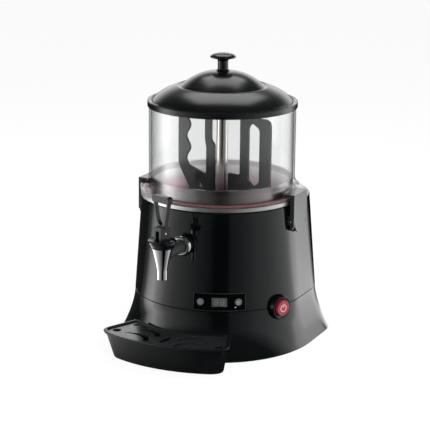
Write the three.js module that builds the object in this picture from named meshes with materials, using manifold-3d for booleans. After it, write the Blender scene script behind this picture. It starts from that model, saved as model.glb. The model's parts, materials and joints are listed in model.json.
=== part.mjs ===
// A hot chocolate dispenser: a clear container with a slow stirrer stands in a water-heated pan on a
// black moulded body, with a lever tap over a drip tray. Millimetres, +Z up, front towards -Y. Sizes
// across are measured from the container's axis; heights build up from the surface under the feet.
import * as THREE from "three";
import { mergeVertices } from "three/addons/utils/BufferGeometryUtils.js";
import Module from "manifold-3d";

const wasm = await Module();
wasm.setup();

// Clearances and cutting
const fitGap = 0.3;
const runningGap = 0.15;
const cutOverrun = 4;
const weldTolerance = 0.001;

// Counts of facets, levels and repeated pieces
const roundSegments = 32;
const smallSegments = 16;
const tinySegments = 10;
const frontSegments = 30;
const cornerSegments = 6;
const sideSegments = 2;
const flareLevels = 5;
const domeSteps = 4;
const cornerSteps = 2;
const ventCount = 6;
const nutSides = 6;
const tubeCurves = 3;
const waveSteps = 14;
const trayArcSteps = 10;
const springTurns = 5;
const springSteps = 8;

// Body: upper housing
const seamHeight = 75;
const upperHousingHeight = 156;
const bodyWall = 3;
const deckRimWidth = 8.3;
const sideLean = 10.7;
const deckRearExtra = 15.2;
const rearLean = 7.6;
const rearCornerInset = 23.8;
const deckEdgeRadius = 3;
const deckOpeningMargin = 1.5;
const seamGap = 0.4;

// Body: flared base
const skirtHeight = 1.5;
const floorPlateHeight = 4;
const sideFlare = 20.5;
const frontFlare = 31.5;
const rearFlare = 3.4;
const footSquareness = 2.05;
const footCornerTightening = 16;
const flarePower = 1.7;
const shelfWidth = 12;
const shelfThickness = 3;
const bottomPlateThickness = 1.5;

// Feet
const footRadius = 11;
const footTopRadius = 9;
const footStudRadius = 3;
const footStudHeight = 5;
const footFrontInsetX = 56;
const footFrontInsetY = 73;
const footRearInsetX = 48;
const footRearInsetY = 51;

// Water tank, product pan and the column through them
const sheet = 1.2;
const bathWidth = 6;
const tankDepth = 90;
const tankFlangeSetback = 2.2;
const panClearance = 1.5;
const panDepth = 67;
const panCornerRadius = 4;
const panBandOverhang = 1.2;
const panBandHeight = 6.8;
const panLipRise = 31;
const columnRadius = 6.5;
const columnBoreRadius = 4.6;
const columnSetback = 4;
const columnFlangeRadius = 14;
const columnFlangeThickness = 2;

// Seals between the pan and the container
const gasketThickness = 1.2;
const lipSealWall = 1.6;
const lipSealDepth = 8;

// Container
const containerRadius = 117.5;
const containerWall = 3;
const containerRise = 154;
const flangeOverhang = 1.5;
const flangeThickness = 4.3;
const coveRise = 35;
const pocketStand = 0.9;
const clipPadInset = 7.3;

// Lid, knob and screw
const lidWall = 2;
const lidRimOverhang = 2.3;
const lidRimHeight = 12;
const lidOverlap = 10;
const lidGutterDepth = 2;
const lidLipWidth = 2.4;
const domeFootInset = 6.8;
const domeShoulderInset = 46.8;
const domeShoulderRise = 23;
const domeBulgeInset = 9;
const domeBulgeRise = 12;
const crownSetback = 6;
const crownRise = 23;
const crownGroove = 1;
const crownBulgeShare = 0.62;
const knobSeatRadius = 12;
const knobHeight = 29;
const knobCapRadius = 20.6;
const knobCapEdgeDrop = 6;
const knobUnderDrop = 10.5;
const knobBulgeShare = 0.8;
const knobStemRadius = 8.4;
const knobRootRadius = 10.5;
const screwRadius = 2;
const screwHeadRadius = 4.5;
const screwHeadThickness = 2.6;
const screwLength = 20;

// Stirrer: sleeve, drive cap and the two-bladed paddle
const shaftRadius = 4.2;
const sleeveRadius = 9;
const sleeveWall = 1;
const sleeveSetback = 19;
const sleeveRise = 12;
const capRadius = 11;
const capHeight = 12;
const capThickness = 4;
const paddleAngle = 75;
const bladeThickness = 4;
const hubRadius = 14;
const hubHeight = 26;
const bladeRise = 8;
const bladeSetback = 2;
const wideBladeMargin = 13.2;
const wideBladeCorner = 13;
const widePostWidth = 16.8;
const wideBladeWebDrop = 96;
const wideSlotWidth = 22.7;
const wideSlotInset = 21.8;
const wideSlotBottomDrop = 111;
const wideSlotTopDrop = 8.8;
const wideSlotShoulder = 8;
const waveBladeMargin = 21;
const waveHeelInset = 24;
const waveHeelRise = 59;
const waveBreakRise = 94.8;
const waveCrestInset = 16.5;
const waveDepth = 8.4;
const wavePitch = 37;
const waveWindowRise = 87;
const wavePostOuter = 35;
const wavePostOuterLow = 32;
const wavePostInner = 22;
const wavePostInnerLow = 14.8;
const wavePostStepDrop = 48;
const waveSlotReach = 44;
const waveSlotWidth = 12;
const waveSlotHeight = 9;
const waveSlotRise = 63;

// Gear motor and its bracket
const gearboxClearance = 3;
const bracketHalfWidth = 42;
const bracketDepth = 56;
const bracketSheet = 2;
const bracketFootWidth = 14;
const gearboxSide = 64;
const gearboxHeight = 33;
const gearboxBossRadius = 12;
const gearboxBossHeight = 5;
const motorRadius = 27;
const motorHeight = 48;
const motorNeckRadius = 10;
const bracketHoleRadius = 12;

// Heater, probe and cutout
const heaterRingInset = 35;
const heaterTubeRadius = 4;
const heaterGapAngle = 26;
const heaterLegDrop = 22;
const heaterHeightAboveFloor = 9;
const probeRadius = 3;
const probeInset = 24;
const probeLength = 26;
const probeHeadRadius = 6;
const probeHeadHeight = 8;
const cutoutRadius = 9;
const cutoutHeight = 8;
const cutoutInset = 22;

// Control panel
const panelAngle = 24.4;
const panelHalfAngle = 17;
const panelRise = 1.4;
const panelHeight = 28;
const panelThickness = 1.6;
const panelWindowHalfAngle = 15;
const panelWindowMargin = 4;
const buttonAngle = 12.2;
const buttonRadius = 5.6;
const buttonStand = 1.2;
const buttonFlangeRadius = 6.6;
const buttonFlangeThickness = 1.2;
const buttonLength = 7;
const displayWidth = 24;
const displayHeight = 14.4;
const displayThickness = 1.2;
const boardWidth = 66;
const boardHeight = 20;
const boardThickness = 1.6;
const boardSetback = 18.5;
const displayModuleMargin = 1.5;

// Power switch
const switchAngle = 66;
const switchDrop = 1;
const switchBezelRadius = 20;
const switchFaceRadius = 18.2;
const switchFaceStand = 9.5;
const switchBezelBack = 6;
const switchCapRadius = 12.6;
const switchCapStand = 3.4;
const switchCapDepth = 9;
const switchBodyRadius = 15;
const switchBodyLength = 22;

// Tap
const tapStand = 69.5;
const shankRise = 14.5;
const shankRadius = 9.4;
const shankBoreRadius = 6;
const shankInsideLength = 9;
const lockNutRadius = 14;
const lockNutThickness = 5;
const escutcheonRadius = 14.5;
const escutcheonThickness = 3;
const nutRadius = 17;
const nutFaceRadius = 11;
const nutLength = 13;
const spoutTipDrop = 36.5;
const spoutTipRadius = 8.2;
const spoutWaistDrop = 22.5;
const spoutTopRise = 13;
const spoutTopRadius = 16.3;
const spoutWall = 1.8;
const seatBoreRadius = 4.8;
const seatDrop = 18.5;
const seatThickness = 2;
const bonnetBottomRadius = 17.8;
const bonnetTopRadius = 21.9;
const bonnetHeight = 11;
const bonnetCrown = 1.4;
const bonnetCavityHeight = 8;
const bonnetBore = 3;
const stemRadius = 2.2;
const cupRadius = 6.6;
const cupHeight = 7;
const springRadius = 6;
const springWireRadius = 0.7;
const springGap = 1;

// Tap handle: a neck block under a finger loop, turned a little to the left about the stem
const handleTurnAngle = 20;
const handlePinRise = 23.5;
const handlePinRadius = 1.6;
const neckWidth = 15.6;
const neckDepth = 20;
const neckTopRise = 10;
const neckSlotWidth = 7;
const neckSlotHeight = 7.6;
const loopHeight = 47.5;
const loopDepth = 7;
const loopTopHalfWidth = 18;
const loopLegHalfWidth = 17;
const loopBarDepth = 9.5;
const loopRootHalfWidth = 7.8;
const loopOpeningRise = 2.5;
const loopOpeningHalfWidth = 12.8;
const loopOpeningWaist = 8.5;
const loopCorner = 5;
const loopBarHeight = 10.5;

// Side clips that hold the container's flange
const clipHalfWidth = 25.8;
const clipRoofThickness = 3.6;
const clipRoofStand = 1.5;
const clipStand = 6.5;
const clipPlate = 2.6;
const clipCheek = 3;
const clipCheekSetback = 6.9;
const clipLobeSetback = 6;
const clipLobeDrop = 39.5;
const clipLobeWidth = 4;
const clipNotchDrop = 35;
const clipTongueDrop = 47;
const clipTaperDrop = 1;
const clipPinSetback = 5.4;
const clipPinDrop = 26.4;
const clipPinRadius = 1.2;
const clipLugRadius = 2.5;
const clipLugInset = 1;
const clipWindowMargin = 0.8;
const clipWindowBottomDrop = 40.6;
const clipWindowTopDrop = 17;
const clipPlateSetback = 12.6;
const clipPlateThickness = 2.3;
const clipPlateHalfWidth = 30;

// Drip tray and grate
const trayHeight = 45;
const trayFloorGap = 1;
const trayWall = 2.5;
const trayDepth = 73.5;
const trayFrontHalfWidth = 110;
const trayRearHalfWidth = 81;
const trayTopSetback = 11;
const trayFrontRake = 12.5;
const traySideRake = 10;
const trayRearSideRake = 1;
const trayFootStand = 6;
const trayCorner = 22;
const trayLipHeight = 4;
const trayLipWidth = 2.5;
const grateThickness = 3;
const grateDrop = 2.2;
const ledgeWidth = 3;
const tongueX = 36;
const tongueWidth = 16;
const tongueThickness = 3;
const tongueDrop = 12;
const tongueReach = 20;
const frontHoleInsetX = 22.5;
const frontHoleInsetY = 40.5;
const frontHoleRadius = 6.8;
const rearHoleInsetX = 8.5;
const rearHoleInsetY = 3;
const rearHoleRadius = 4.8;
const leafFrontInset = 16.5;
const leafRearInset = 20;
const leafHalfWidth = 5.5;
const slotFieldInset = 10;
const slotFieldRearInset = 10;
const slotFieldOverrun = 16.5;
const rearSlotShares = [[0.135, 0.4], [0.2225, 0.07], [0.66, 0.2], [0.2675, 0.215], [0.205, 0.45]];
const frontSlotShares = [[0.2, 0.67], [0.25, 0.31], [0.74, 0.47], [0.31, 0.465], [0.28, 0.7]];

// Rear: vents, cord gland and terminal block
const ventWidth = 56;
const ventHeight = 4;
const ventPitch = 10;
const ventRise = 55;
const glandHeight = 40;
const glandX = 40;
const glandRadius = 9;
const glandFlangeRadius = 12;
const glandBoreRadius = 3.6;
const glandStand = 9;
const glandFlangeThickness = 3;
const glandInside = 8;
const terminalWidth = 40;
const terminalDepth = 16;
const terminalHeight = 18;
const terminalX = 50;
const terminalInset = 47.6;

// Values worked out from the sizes above
const containerBore = containerRadius - containerWall;
const panRadius = containerBore - panClearance;
const tankRadius = panRadius + bathWidth;
const deckOpeningRadius = tankRadius + deckOpeningMargin;
const deckHalfWidth = deckOpeningRadius + deckRimWidth;
const panBandRadius = deckHalfWidth + panBandOverhang;
const tankFlangeRadius = panBandRadius - tankFlangeSetback;
const flangeRadius = panBandRadius + flangeOverhang;
const seamHalfWidth = deckHalfWidth + sideLean;
const deckRearReach = deckHalfWidth + deckRearExtra;
const seamRearReach = deckRearReach + rearLean;
const rearCornerRadius = deckHalfWidth - rearCornerInset;
const footHalfWidth = seamHalfWidth + sideFlare;
const footFrontReach = seamHalfWidth + frontFlare;
const footRearReach = seamRearReach + rearFlare;
const footFrontX = footHalfWidth - footFrontInsetX;
const footFrontY = footFrontReach - footFrontInsetY;
const footRearX = footHalfWidth - footRearInsetX;
const footRearY = footRearReach - footRearInsetY;
const pocketInnerX = containerRadius + pocketStand;
const clipPadReach = flangeRadius - clipPadInset;
const lidRimRadius = containerRadius + lidRimOverhang;
const domeFootRadius = lidRimRadius - domeFootInset;
const domeShoulderRadius = lidRimRadius - domeShoulderInset;
const domeBulgeRadius = domeFootRadius - domeBulgeInset;
const crownRadius = domeShoulderRadius - crownSetback;
const wideBladeReach = panRadius - wideBladeMargin;
const wideSlotOuter = wideBladeReach - wideSlotInset;
const wideSlotInner = wideSlotOuter - wideSlotWidth;
const wideBladePost = wideSlotInner - widePostWidth;
const waveBladeReach = panRadius - waveBladeMargin;
const waveBladeHeel = waveBladeReach - waveHeelInset;
const waveCrest = waveBladeReach - waveCrestInset;
const waveTrough = waveCrest - waveDepth;
const heaterRingRadius = tankRadius - heaterRingInset;
const cutoutAcross = heaterRingRadius - cutoutInset;
const probeAcross = heaterRingRadius - probeInset;
const boardDistance = seamHalfWidth - boardSetback;
const tapDistance = seamHalfWidth + tapStand;
const shankInnerEnd = panRadius - shankInsideLength;
const clipInnerX = containerRadius + clipRoofStand;
const clipOuterX = flangeRadius + clipStand;
const clipCheekInnerX = clipOuterX - clipCheekSetback;
const clipLobeInnerX = clipOuterX - clipLobeSetback;
const clipPinX = clipOuterX - clipPinSetback;
const clipPlateX = clipPinX - clipPlateSetback;
const trayRearReach = footFrontReach - trayTopSetback;
const trayFootRearReach = footFrontReach + trayFootStand;
const trayFrontReach = trayRearReach + trayDepth;
const trayFootFrontReach = trayFrontReach - trayFrontRake;
const trayFootFrontHalfWidth = trayFrontHalfWidth - traySideRake;
const trayFootRearHalfWidth = trayRearHalfWidth - trayRearSideRake;
const frontHoleX = trayFrontHalfWidth - frontHoleInsetX;
const frontHoleY = trayFrontReach - frontHoleInsetY;
const rearHoleX = trayRearHalfWidth - rearHoleInsetX;
const rearHoleY = trayRearReach - rearHoleInsetY;
const leafFrontY = trayFrontReach - leafFrontInset;
const leafRearY = trayRearReach + leafRearInset;
const slotFieldHalfWidth = trayFrontHalfWidth - slotFieldInset;
const slotFieldRearY = trayRearReach - slotFieldRearInset;
const slotFieldFrontY = trayFrontReach + slotFieldOverrun;
const terminalY = seamRearReach - terminalInset;
const deckHeight = seamHeight + upperHousingHeight;
const tankFloorHeight = deckHeight - tankDepth;
const panFloorHeight = deckHeight - panDepth;
const panLipHeight = deckHeight + panLipRise;
const coveHeight = deckHeight + coveRise;
const containerTopHeight = deckHeight + containerRise;
const lidRimBottom = containerTopHeight - lidOverlap;
const domeShoulderHeight = containerTopHeight + domeShoulderRise;
const domeBulgeHeight = containerTopHeight + domeBulgeRise;
const crownTopHeight = domeShoulderHeight + crownRise;
const knobTopHeight = crownTopHeight + knobHeight;
const knobCapEdgeHeight = knobTopHeight - knobCapEdgeDrop;
const knobUnderHeight = knobTopHeight - knobUnderDrop;
const sleeveTopHeight = containerTopHeight - sleeveSetback;
const sleeveBottomHeight = panFloorHeight + sleeveRise;
const columnTopHeight = sleeveTopHeight - columnSetback;
const bladeBottomHeight = panFloorHeight + bladeRise;
const bladeTopHeight = sleeveTopHeight - bladeSetback;
const wideBladeWebHeight = bladeTopHeight - wideBladeWebDrop;
const wideSlotBottom = bladeTopHeight - wideSlotBottomDrop;
const wideSlotTop = bladeTopHeight - wideSlotTopDrop;
const waveHeelHeight = bladeBottomHeight + waveHeelRise;
const waveBreakHeight = bladeBottomHeight + waveBreakRise;
const waveWindowBottom = bladeBottomHeight + waveWindowRise;
const waveSlotFloor = bladeBottomHeight + waveSlotRise;
const wavePostStepHeight = bladeTopHeight - wavePostStepDrop;
const bracketTopHeight = tankFloorHeight - gearboxClearance - gearboxBossHeight - gearboxHeight;
const panelBottomHeight = seamHeight + panelRise;
const switchHeight = seamHeight - switchDrop;
const ventBottomHeight = seamHeight + ventRise;
const shankHeight = panFloorHeight + shankRise;
const spoutTipHeight = shankHeight - spoutTipDrop;
const spoutWaistHeight = shankHeight - spoutWaistDrop;
const spoutTopHeight = shankHeight + spoutTopRise;
const seatHeight = shankHeight - seatDrop;
const handlePinHeight = spoutTopHeight + handlePinRise;
const neckTopHeight = handlePinHeight + neckTopRise;
const loopTopHeight = neckTopHeight + loopHeight;
const loopOpeningTop = loopTopHeight - loopBarHeight;
const loopOpeningBottom = neckTopHeight + loopOpeningRise;
const clipLobeHeight = deckHeight - clipLobeDrop;
const clipNotchHeight = deckHeight - clipNotchDrop;
const clipTongueHeight = deckHeight - clipTongueDrop;
const clipTongueTaper = deckHeight - clipTaperDrop;
const clipPinHeight = deckHeight - clipPinDrop;
const clipWindowBottom = deckHeight - clipWindowBottomDrop;
const clipWindowTop = deckHeight - clipWindowTopDrop;
const tongueHeight = trayHeight - tongueDrop;
const baseTopHeight = seamHeight - seamGap;
const trayRimTop = trayHeight;
const panFlangeTop = deckHeight + fitGap + panBandHeight;
const gasketTop = panFlangeTop + fitGap + gasketThickness;
const flangeBottom = gasketTop + fitGap;
const flangeTop = flangeBottom + flangeThickness;
const lidRimTop = lidRimBottom + lidRimHeight;
const plateTopHeight = floorPlateHeight + fitGap + bottomPlateThickness;
const rearReach = footRearReach + glandStand;
const radians = THREE.MathUtils.degToRad;

// Geometry and solids

function signedVolume(geometry) {
  const position = geometry.getAttribute("position");
  const index = geometry.index.array;
  const [a, b, c] = [new THREE.Vector3(), new THREE.Vector3(), new THREE.Vector3()];
  let volume = 0;
  for (let i = 0; i < index.length; i += 3) {
    a.fromBufferAttribute(position, index[i]);
    b.fromBufferAttribute(position, index[i + 1]);
    c.fromBufferAttribute(position, index[i + 2]);
    volume += a.dot(b.cross(c));
  }
  return volume;
}

// The positions alone, welded, with the faces turned outwards.
function bare(geometry) {
  const source = geometry.index ? geometry.toNonIndexed() : geometry;
  const positions = new THREE.BufferGeometry().setAttribute("position", source.getAttribute("position"));
  const welded = mergeVertices(positions, weldTolerance);
  if (signedVolume(welded) < 0) {
    const index = welded.index.array;
    for (let i = 0; i < index.length; i += 3) {
      [index[i + 1], index[i + 2]] = [index[i + 2], index[i + 1]];
    }
  }
  return welded;
}

function toSolid(geometry) {
  const welded = bare(geometry);
  const vertProperties = welded.getAttribute("position").array;
  const triVerts = new Uint32Array(welded.index.array);
  return new wasm.Manifold(new wasm.Mesh({ numProp: 3, vertProperties, triVerts }));
}

function toGeometry(solid) {
  const { vertProperties, triVerts } = solid.getMesh();
  const position = new THREE.BufferAttribute(Float32Array.from(vertProperties), 3);
  const index = new THREE.BufferAttribute(Uint32Array.from(triVerts), 1);
  return new THREE.BufferGeometry().setAttribute("position", position).setIndex(index);
}

function cut(geometry, ...tools) {
  return toGeometry(tools.reduce((solid, tool) => solid.subtract(toSolid(tool)), toSolid(geometry)));
}

function join(...geometries) {
  return toGeometry(geometries.map(toSolid).reduce((solid, other) => solid.add(other)));
}

function pair(x, y) {
  return new THREE.Vector2(x, y);
}

// Revolves a profile of [radius, height] points about the Z axis.
function revolve(profile, segments = roundSegments) {
  const points = profile.map(([radius, height]) => pair(radius, height));
  return bare(new THREE.LatheGeometry(points, segments).rotateX(Math.PI / 2));
}

// Revolves a profile that closes on itself.
function revolveRing(profile, segments = roundSegments) {
  return revolve([...profile, profile[0]], segments);
}

function box(x0, x1, y0, y1, z0, z1) {
  const block = new THREE.BoxGeometry(x1 - x0, y1 - y0, z1 - z0);
  return block.translate((x0 + x1) / 2, (y0 + y1) / 2, (z0 + z1) / 2);
}

// A round bar along Z; the two functions after it lay the bar along X or Y.
function bar(radius, z0, z1, segments = smallSegments) {
  const rod = new THREE.CylinderGeometry(radius, radius, z1 - z0, segments);
  return rod.rotateX(Math.PI / 2).translate(0, 0, (z0 + z1) / 2);
}

function barAlongX(radius, x0, x1, y, z, segments = smallSegments) {
  return bar(radius, x0, x1, segments).rotateY(Math.PI / 2).translate(0, y, z);
}

function barAlongY(radius, y0, y1, x, z, segments = smallSegments) {
  return bar(radius, y0, y1, segments).rotateX(-Math.PI / 2).translate(x, 0, z);
}

// An outline drawn in X and Z, extruded along Y from y0 to y1.
function slabAlongY(shape, y0, y1, curveSegments = tinySegments) {
  const slab = new THREE.ExtrudeGeometry(shape, { depth: y1 - y0, bevelEnabled: false, curveSegments });
  return slab.rotateX(Math.PI / 2).translate(0, y1, 0);
}

// An outline drawn in X and Y, extruded along Z from z0 to z1.
function slabAlongZ(shape, z0, z1, curveSegments = tinySegments) {
  const slab = new THREE.ExtrudeGeometry(shape, { depth: z1 - z0, bevelEnabled: false, curveSegments });
  return slab.translate(0, 0, z0);
}

// An outline drawn in Y and Z, extruded along X from x0 to x1.
function slabAlongX(shape, x0, x1, curveSegments = tinySegments) {
  const slab = new THREE.ExtrudeGeometry(shape, { depth: x1 - x0, bevelEnabled: false, curveSegments });
  return slab.rotateX(Math.PI / 2).rotateZ(Math.PI / 2).translate(x0, 0, 0);
}

function capTriangles(section, offset, upward) {
  const contour = section.map((point) => pair(point.x, point.y));
  return THREE.ShapeUtils.triangulateShape(contour, []).flatMap(([a, b, c]) => {
    const area = THREE.ShapeUtils.area([contour[a], contour[b], contour[c]]);
    const keep = area > 0 === upward;
    return keep ? [offset + a, offset + b, offset + c] : [offset + a, offset + c, offset + b];
  });
}

// A solid through sections with equally many points, capped at both ends or closed into a ring.
function loft(sections, ring = false) {
  const count = sections[0].length;
  const index = [];
  const spans = ring ? sections.length : sections.length - 1;
  for (let s = 0; s < spans; s += 1) {
    const here = s * count;
    const next = ((s + 1) % sections.length) * count;
    for (let i = 0; i < count; i += 1) {
      const j = (i + 1) % count;
      index.push(here + i, here + j, next + j, here + i, next + j, next + i);
    }
  }
  if (!ring) {
    const last = sections.length - 1;
    index.push(...capTriangles(sections[0], 0, false));
    index.push(...capTriangles(sections[last], last * count, true));
  }
  return bare(new THREE.BufferGeometry().setFromPoints(sections.flat()).setIndex(index));
}

// The frame of a spot on the body: local X to the right, Y up and Z straight out.
function outward(angle, distance, height) {
  const azimuth = radians(angle);
  const across = new THREE.Vector3(Math.cos(azimuth), Math.sin(azimuth), 0);
  const out = new THREE.Vector3(Math.sin(azimuth), -Math.cos(azimuth), 0);
  const frame = new THREE.Matrix4().makeBasis(across, new THREE.Vector3(0, 0, 1), out);
  return frame.setPosition(out.x * distance, out.y * distance, height);
}

// Points along a curve, as [x, y] pairs.
function along(curve, steps) {
  return curve.getPoints(steps).map((point) => [point.x, point.y]);
}

function bend(from, control, to, steps) {
  return along(new THREE.QuadraticBezierCurve(pair(...from), pair(...control), pair(...to)), steps);
}

// A polyline moved sideways by a distance, to the left of its direction.
function offsetLine(points, distance) {
  return points.map((point, i) => {
    const before = points[Math.max(i - 1, 0)];
    const after = points[Math.min(i + 1, points.length - 1)];
    const length = Math.hypot(after[0] - before[0], after[1] - before[1]);
    const left = [-(after[1] - before[1]) / length, (after[0] - before[0]) / length];
    return [point[0] + left[0] * distance, point[1] + left[1] * distance];
  });
}

// Body outlines

// The D-shaped outline of the body at one height, anticlockwise from its left side past the front.
function bodyOutline({ half, front, rear, corner, squareness }, height) {
  const points = [];
  const straight = rear - corner;
  for (let i = 0; i <= frontSegments; i += 1) {
    const turn = Math.PI * (1 + i / frontSegments);
    const x = Math.sign(Math.cos(turn)) * Math.abs(Math.cos(turn)) ** (2 / squareness);
    const y = -(Math.abs(Math.sin(turn)) ** (2 / squareness));
    points.push(new THREE.Vector3(i % frontSegments ? half * x : half * Math.sign(x), front * y, height));
  }
  for (let i = 1; i < sideSegments; i += 1) {
    points.push(new THREE.Vector3(half, (straight * i) / sideSegments, height));
  }
  for (let i = 0; i <= cornerSegments; i += 1) {
    const turn = (Math.PI / 2) * (i / cornerSegments);
    const x = half - corner + corner * Math.cos(turn);
    points.push(new THREE.Vector3(x, straight + corner * Math.sin(turn), height));
  }
  points.push(new THREE.Vector3(0, rear, height));
  for (let i = cornerSegments; i >= 0; i -= 1) {
    const turn = (Math.PI / 2) * (i / cornerSegments);
    const x = corner - half - corner * Math.cos(turn);
    points.push(new THREE.Vector3(x, straight + corner * Math.sin(turn), height));
  }
  for (let i = sideSegments - 1; i > 0; i -= 1) {
    points.push(new THREE.Vector3(-half, (straight * i) / sideSegments, height));
  }
  return points;
}

function upperPlan(height, inset = 0) {
  const share = (deckHeight - height) / (deckHeight - seamHeight);
  const half = THREE.MathUtils.lerp(deckHalfWidth, seamHalfWidth, share) - inset;
  const rear = THREE.MathUtils.lerp(deckRearReach, seamRearReach, share) - inset;
  return { half, front: half, rear, corner: rearCornerRadius - inset, squareness: 2 };
}

function basePlan(height, inset = 0) {
  const share = Math.max((baseTopHeight - height) / (baseTopHeight - skirtHeight), 0) ** flarePower;
  const half = THREE.MathUtils.lerp(seamHalfWidth, footHalfWidth, share) - inset;
  const front = THREE.MathUtils.lerp(seamHalfWidth, footFrontReach, share) - inset;
  const rear = THREE.MathUtils.lerp(seamRearReach, footRearReach, share) - inset;
  const squareness = THREE.MathUtils.lerp(2, footSquareness, share);
  const corner = rearCornerRadius - footCornerTightening * share - inset;
  return { half, front, rear, corner, squareness };
}

const wallRadius = (height) => upperPlan(height).half;

// A circle whose points lie at the same bearings as those of an outline.
function circleLike(outline, radius, height) {
  return outline.map((point) => {
    const bearing = Math.atan2(point.y, point.x);
    return new THREE.Vector3(radius * Math.cos(bearing), radius * Math.sin(bearing), height);
  });
}

// Cuts for the body

function clipWindow(side) {
  const depth = clipPinX - clipPlateX + cutOverrun;
  const x0 = clipPlateX - cutOverrun / 2;
  const half = clipHalfWidth + clipWindowMargin;
  const window = [-half, half, clipWindowBottom, clipWindowTop];
  const opening = box(x0, x0 + depth + cutOverrun, ...window);
  return side > 0 ? opening : opening.rotateZ(Math.PI);
}

const switchHole = bar(switchBezelRadius + fitGap, -switchBodyLength, switchBodyLength, roundSegments)
  .applyMatrix4(outward(switchAngle, wallRadius(switchHeight), switchHeight));

const shankHole = barAlongY(shankRadius + fitGap, -tapDistance, -shankInnerEnd, 0, shankHeight);

function ventSlots() {
  return Array.from({ length: ventCount }, (_, i) => {
    const low = ventBottomHeight + i * ventPitch;
    return box(-ventWidth / 2, ventWidth / 2, tankRadius + cutOverrun, footRearReach, low, low + ventHeight);
  });
}

// A plate that follows the curved front of the body between two bearings and two heights.
function curvedPlate(centre, halfAngle, bottom, top, back, face) {
  const steps = Math.ceil((frontSegments * halfAngle) / 90);
  const arc = (height, stand) => Array.from({ length: steps + 1 }, (_, i) => {
    const bearing = radians(centre + halfAngle * ((2 * i) / steps - 1));
    const reach = wallRadius(height) + stand;
    return new THREE.Vector3(reach * Math.sin(bearing), -reach * Math.cos(bearing), height);
  });
  return loft([bottom, top].map((height) => [...arc(height, face), ...arc(height, back).reverse()]));
}

// Materials

function finish(color, roughness, metalness = 0, more = {}) {
  return () => new THREE.MeshStandardMaterial({ color, roughness, metalness, ...more });
}

const finishes = {
  glossBlack: finish(0x15191a, 0.12),
  satinBlack: finish(0x17191a, 0.38),
  mattBlack: finish(0x1c1e1f, 0.6),
  grateGrey: finish(0x36393b, 0.5),
  steel: finish(0xb9bcbd, 0.3, 1),
  chrome: finish(0xd8dadb, 0.06, 1),
  clear: finish(0xe8edef, 0.05, 0, { transparent: true, opacity: 0.3 }),
  silicone: finish(0xb5303c, 0.6),
  rubber: finish(0x141414, 0.85),
  red: finish(0xb8242b, 0.3),
  display: finish(0x4d5556, 0.2),
  circuit: finish(0x1f5a3a, 0.6),
  motorGrey: finish(0x6c7073, 0.5, 0.6),
  nylon: finish(0xd9d6cc, 0.6),
};

const machine = new THREE.Group();

function add(name, geometry, finishName, placement) {
  const mesh = new THREE.Mesh(geometry, finishes[finishName]());
  mesh.name = name;
  if (placement) mesh.applyMatrix4(placement);
  machine.add(mesh);
  return mesh;
}

const sides = [["left", -1], ["right", 1]];

// The mirror image of a piece for the left side, made by half a turn about the axis.
function sidePlacement(side) {
  return side > 0 ? new THREE.Matrix4() : new THREE.Matrix4().makeRotationZ(Math.PI);
}

// Body shells

function buildUpperHousing() {
  const sections = [];
  sections.push(bodyOutline(upperPlan(seamHeight), seamHeight));
  sections.push(bodyOutline(upperPlan(deckHeight - deckEdgeRadius), deckHeight - deckEdgeRadius));
  const edgeRise = deckEdgeRadius * Math.SQRT1_2;
  const edgeInset = deckEdgeRadius - edgeRise;
  const edgeHeight = deckHeight - edgeInset;
  sections.push(bodyOutline(upperPlan(deckHeight, edgeInset), edgeHeight));
  sections.push(bodyOutline(upperPlan(deckHeight, deckEdgeRadius), deckHeight));
  const deckEdge = sections[sections.length - 1];
  sections.push(circleLike(deckEdge, deckOpeningRadius, deckHeight));
  sections.push(circleLike(deckEdge, deckOpeningRadius, deckHeight - bodyWall));
  const ceiling = deckHeight - bodyWall;
  sections.push(bodyOutline(upperPlan(ceiling, bodyWall), ceiling));
  sections.push(bodyOutline(upperPlan(seamHeight, bodyWall), seamHeight));
  const windowTop = panelBottomHeight + panelHeight - panelWindowMargin;
  const windowBottom = panelBottomHeight + panelWindowMargin;
  const backOff = -bodyWall - cutOverrun;
  const window = curvedPlate(panelAngle, panelWindowHalfAngle, windowBottom, windowTop, backOff, cutOverrun);
  const clipWindows = sides.map(([, side]) => clipWindow(side));
  return cut(loft(sections, true), window, switchHole, shankHole, ...clipWindows, ...ventSlots());
}

function buildBaseHousing() {
  const heights = Array.from({ length: flareLevels + 1 }, (_, i) => {
    return THREE.MathUtils.lerp(skirtHeight, baseTopHeight, i / flareLevels);
  });
  const shell = heights.map((height) => bodyOutline(basePlan(height), height));
  const shelfUnder = baseTopHeight - shelfThickness;
  shell.push(bodyOutline(basePlan(baseTopHeight, shelfWidth), baseTopHeight));
  shell.push(bodyOutline(basePlan(baseTopHeight, shelfWidth), shelfUnder));
  shell.push(bodyOutline(basePlan(shelfUnder, bodyWall), shelfUnder));
  heights.slice(0, -1).reverse().forEach((height) => {
    shell.push(bodyOutline(basePlan(height, bodyWall), height));
  });
  const slots = sides.map(([, side]) => traySlot(side));
  const glandStart = seamRearReach - shelfWidth;
  const glandHole = barAlongY(glandRadius + fitGap, glandStart, rearReach, glandX, glandHeight);
  return cut(loft(shell, true), switchHole, glandHole, ...slots);
}

function traySlot(side) {
  const half = tongueWidth / 2 + fitGap;
  const x = side * tongueX;
  const low = tongueHeight - fitGap;
  const front = -footFrontReach;
  const rear = -(seamHalfWidth - shelfWidth);
  return box(x - half, x + half, front, rear, low, low + tongueThickness + 2 * fitGap);
}

const footSpots = [
  [-footFrontX, -footFrontY],
  [footFrontX, -footFrontY],
  [footRearX, footRearY],
  [-footRearX, footRearY],
];

function buildBottomPlate() {
  const top = floorPlateHeight + bottomPlateThickness;
  const inset = bodyWall + fitGap;
  const plate = loft([floorPlateHeight, top].map((height) => bodyOutline(basePlan(height, inset), height)));
  const holes = footSpots.map(([x, y]) => {
    return bar(footStudRadius + fitGap, 0, top + cutOverrun, tinySegments).translate(x, y, 0);
  });
  return cut(plate, ...holes);
}

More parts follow.
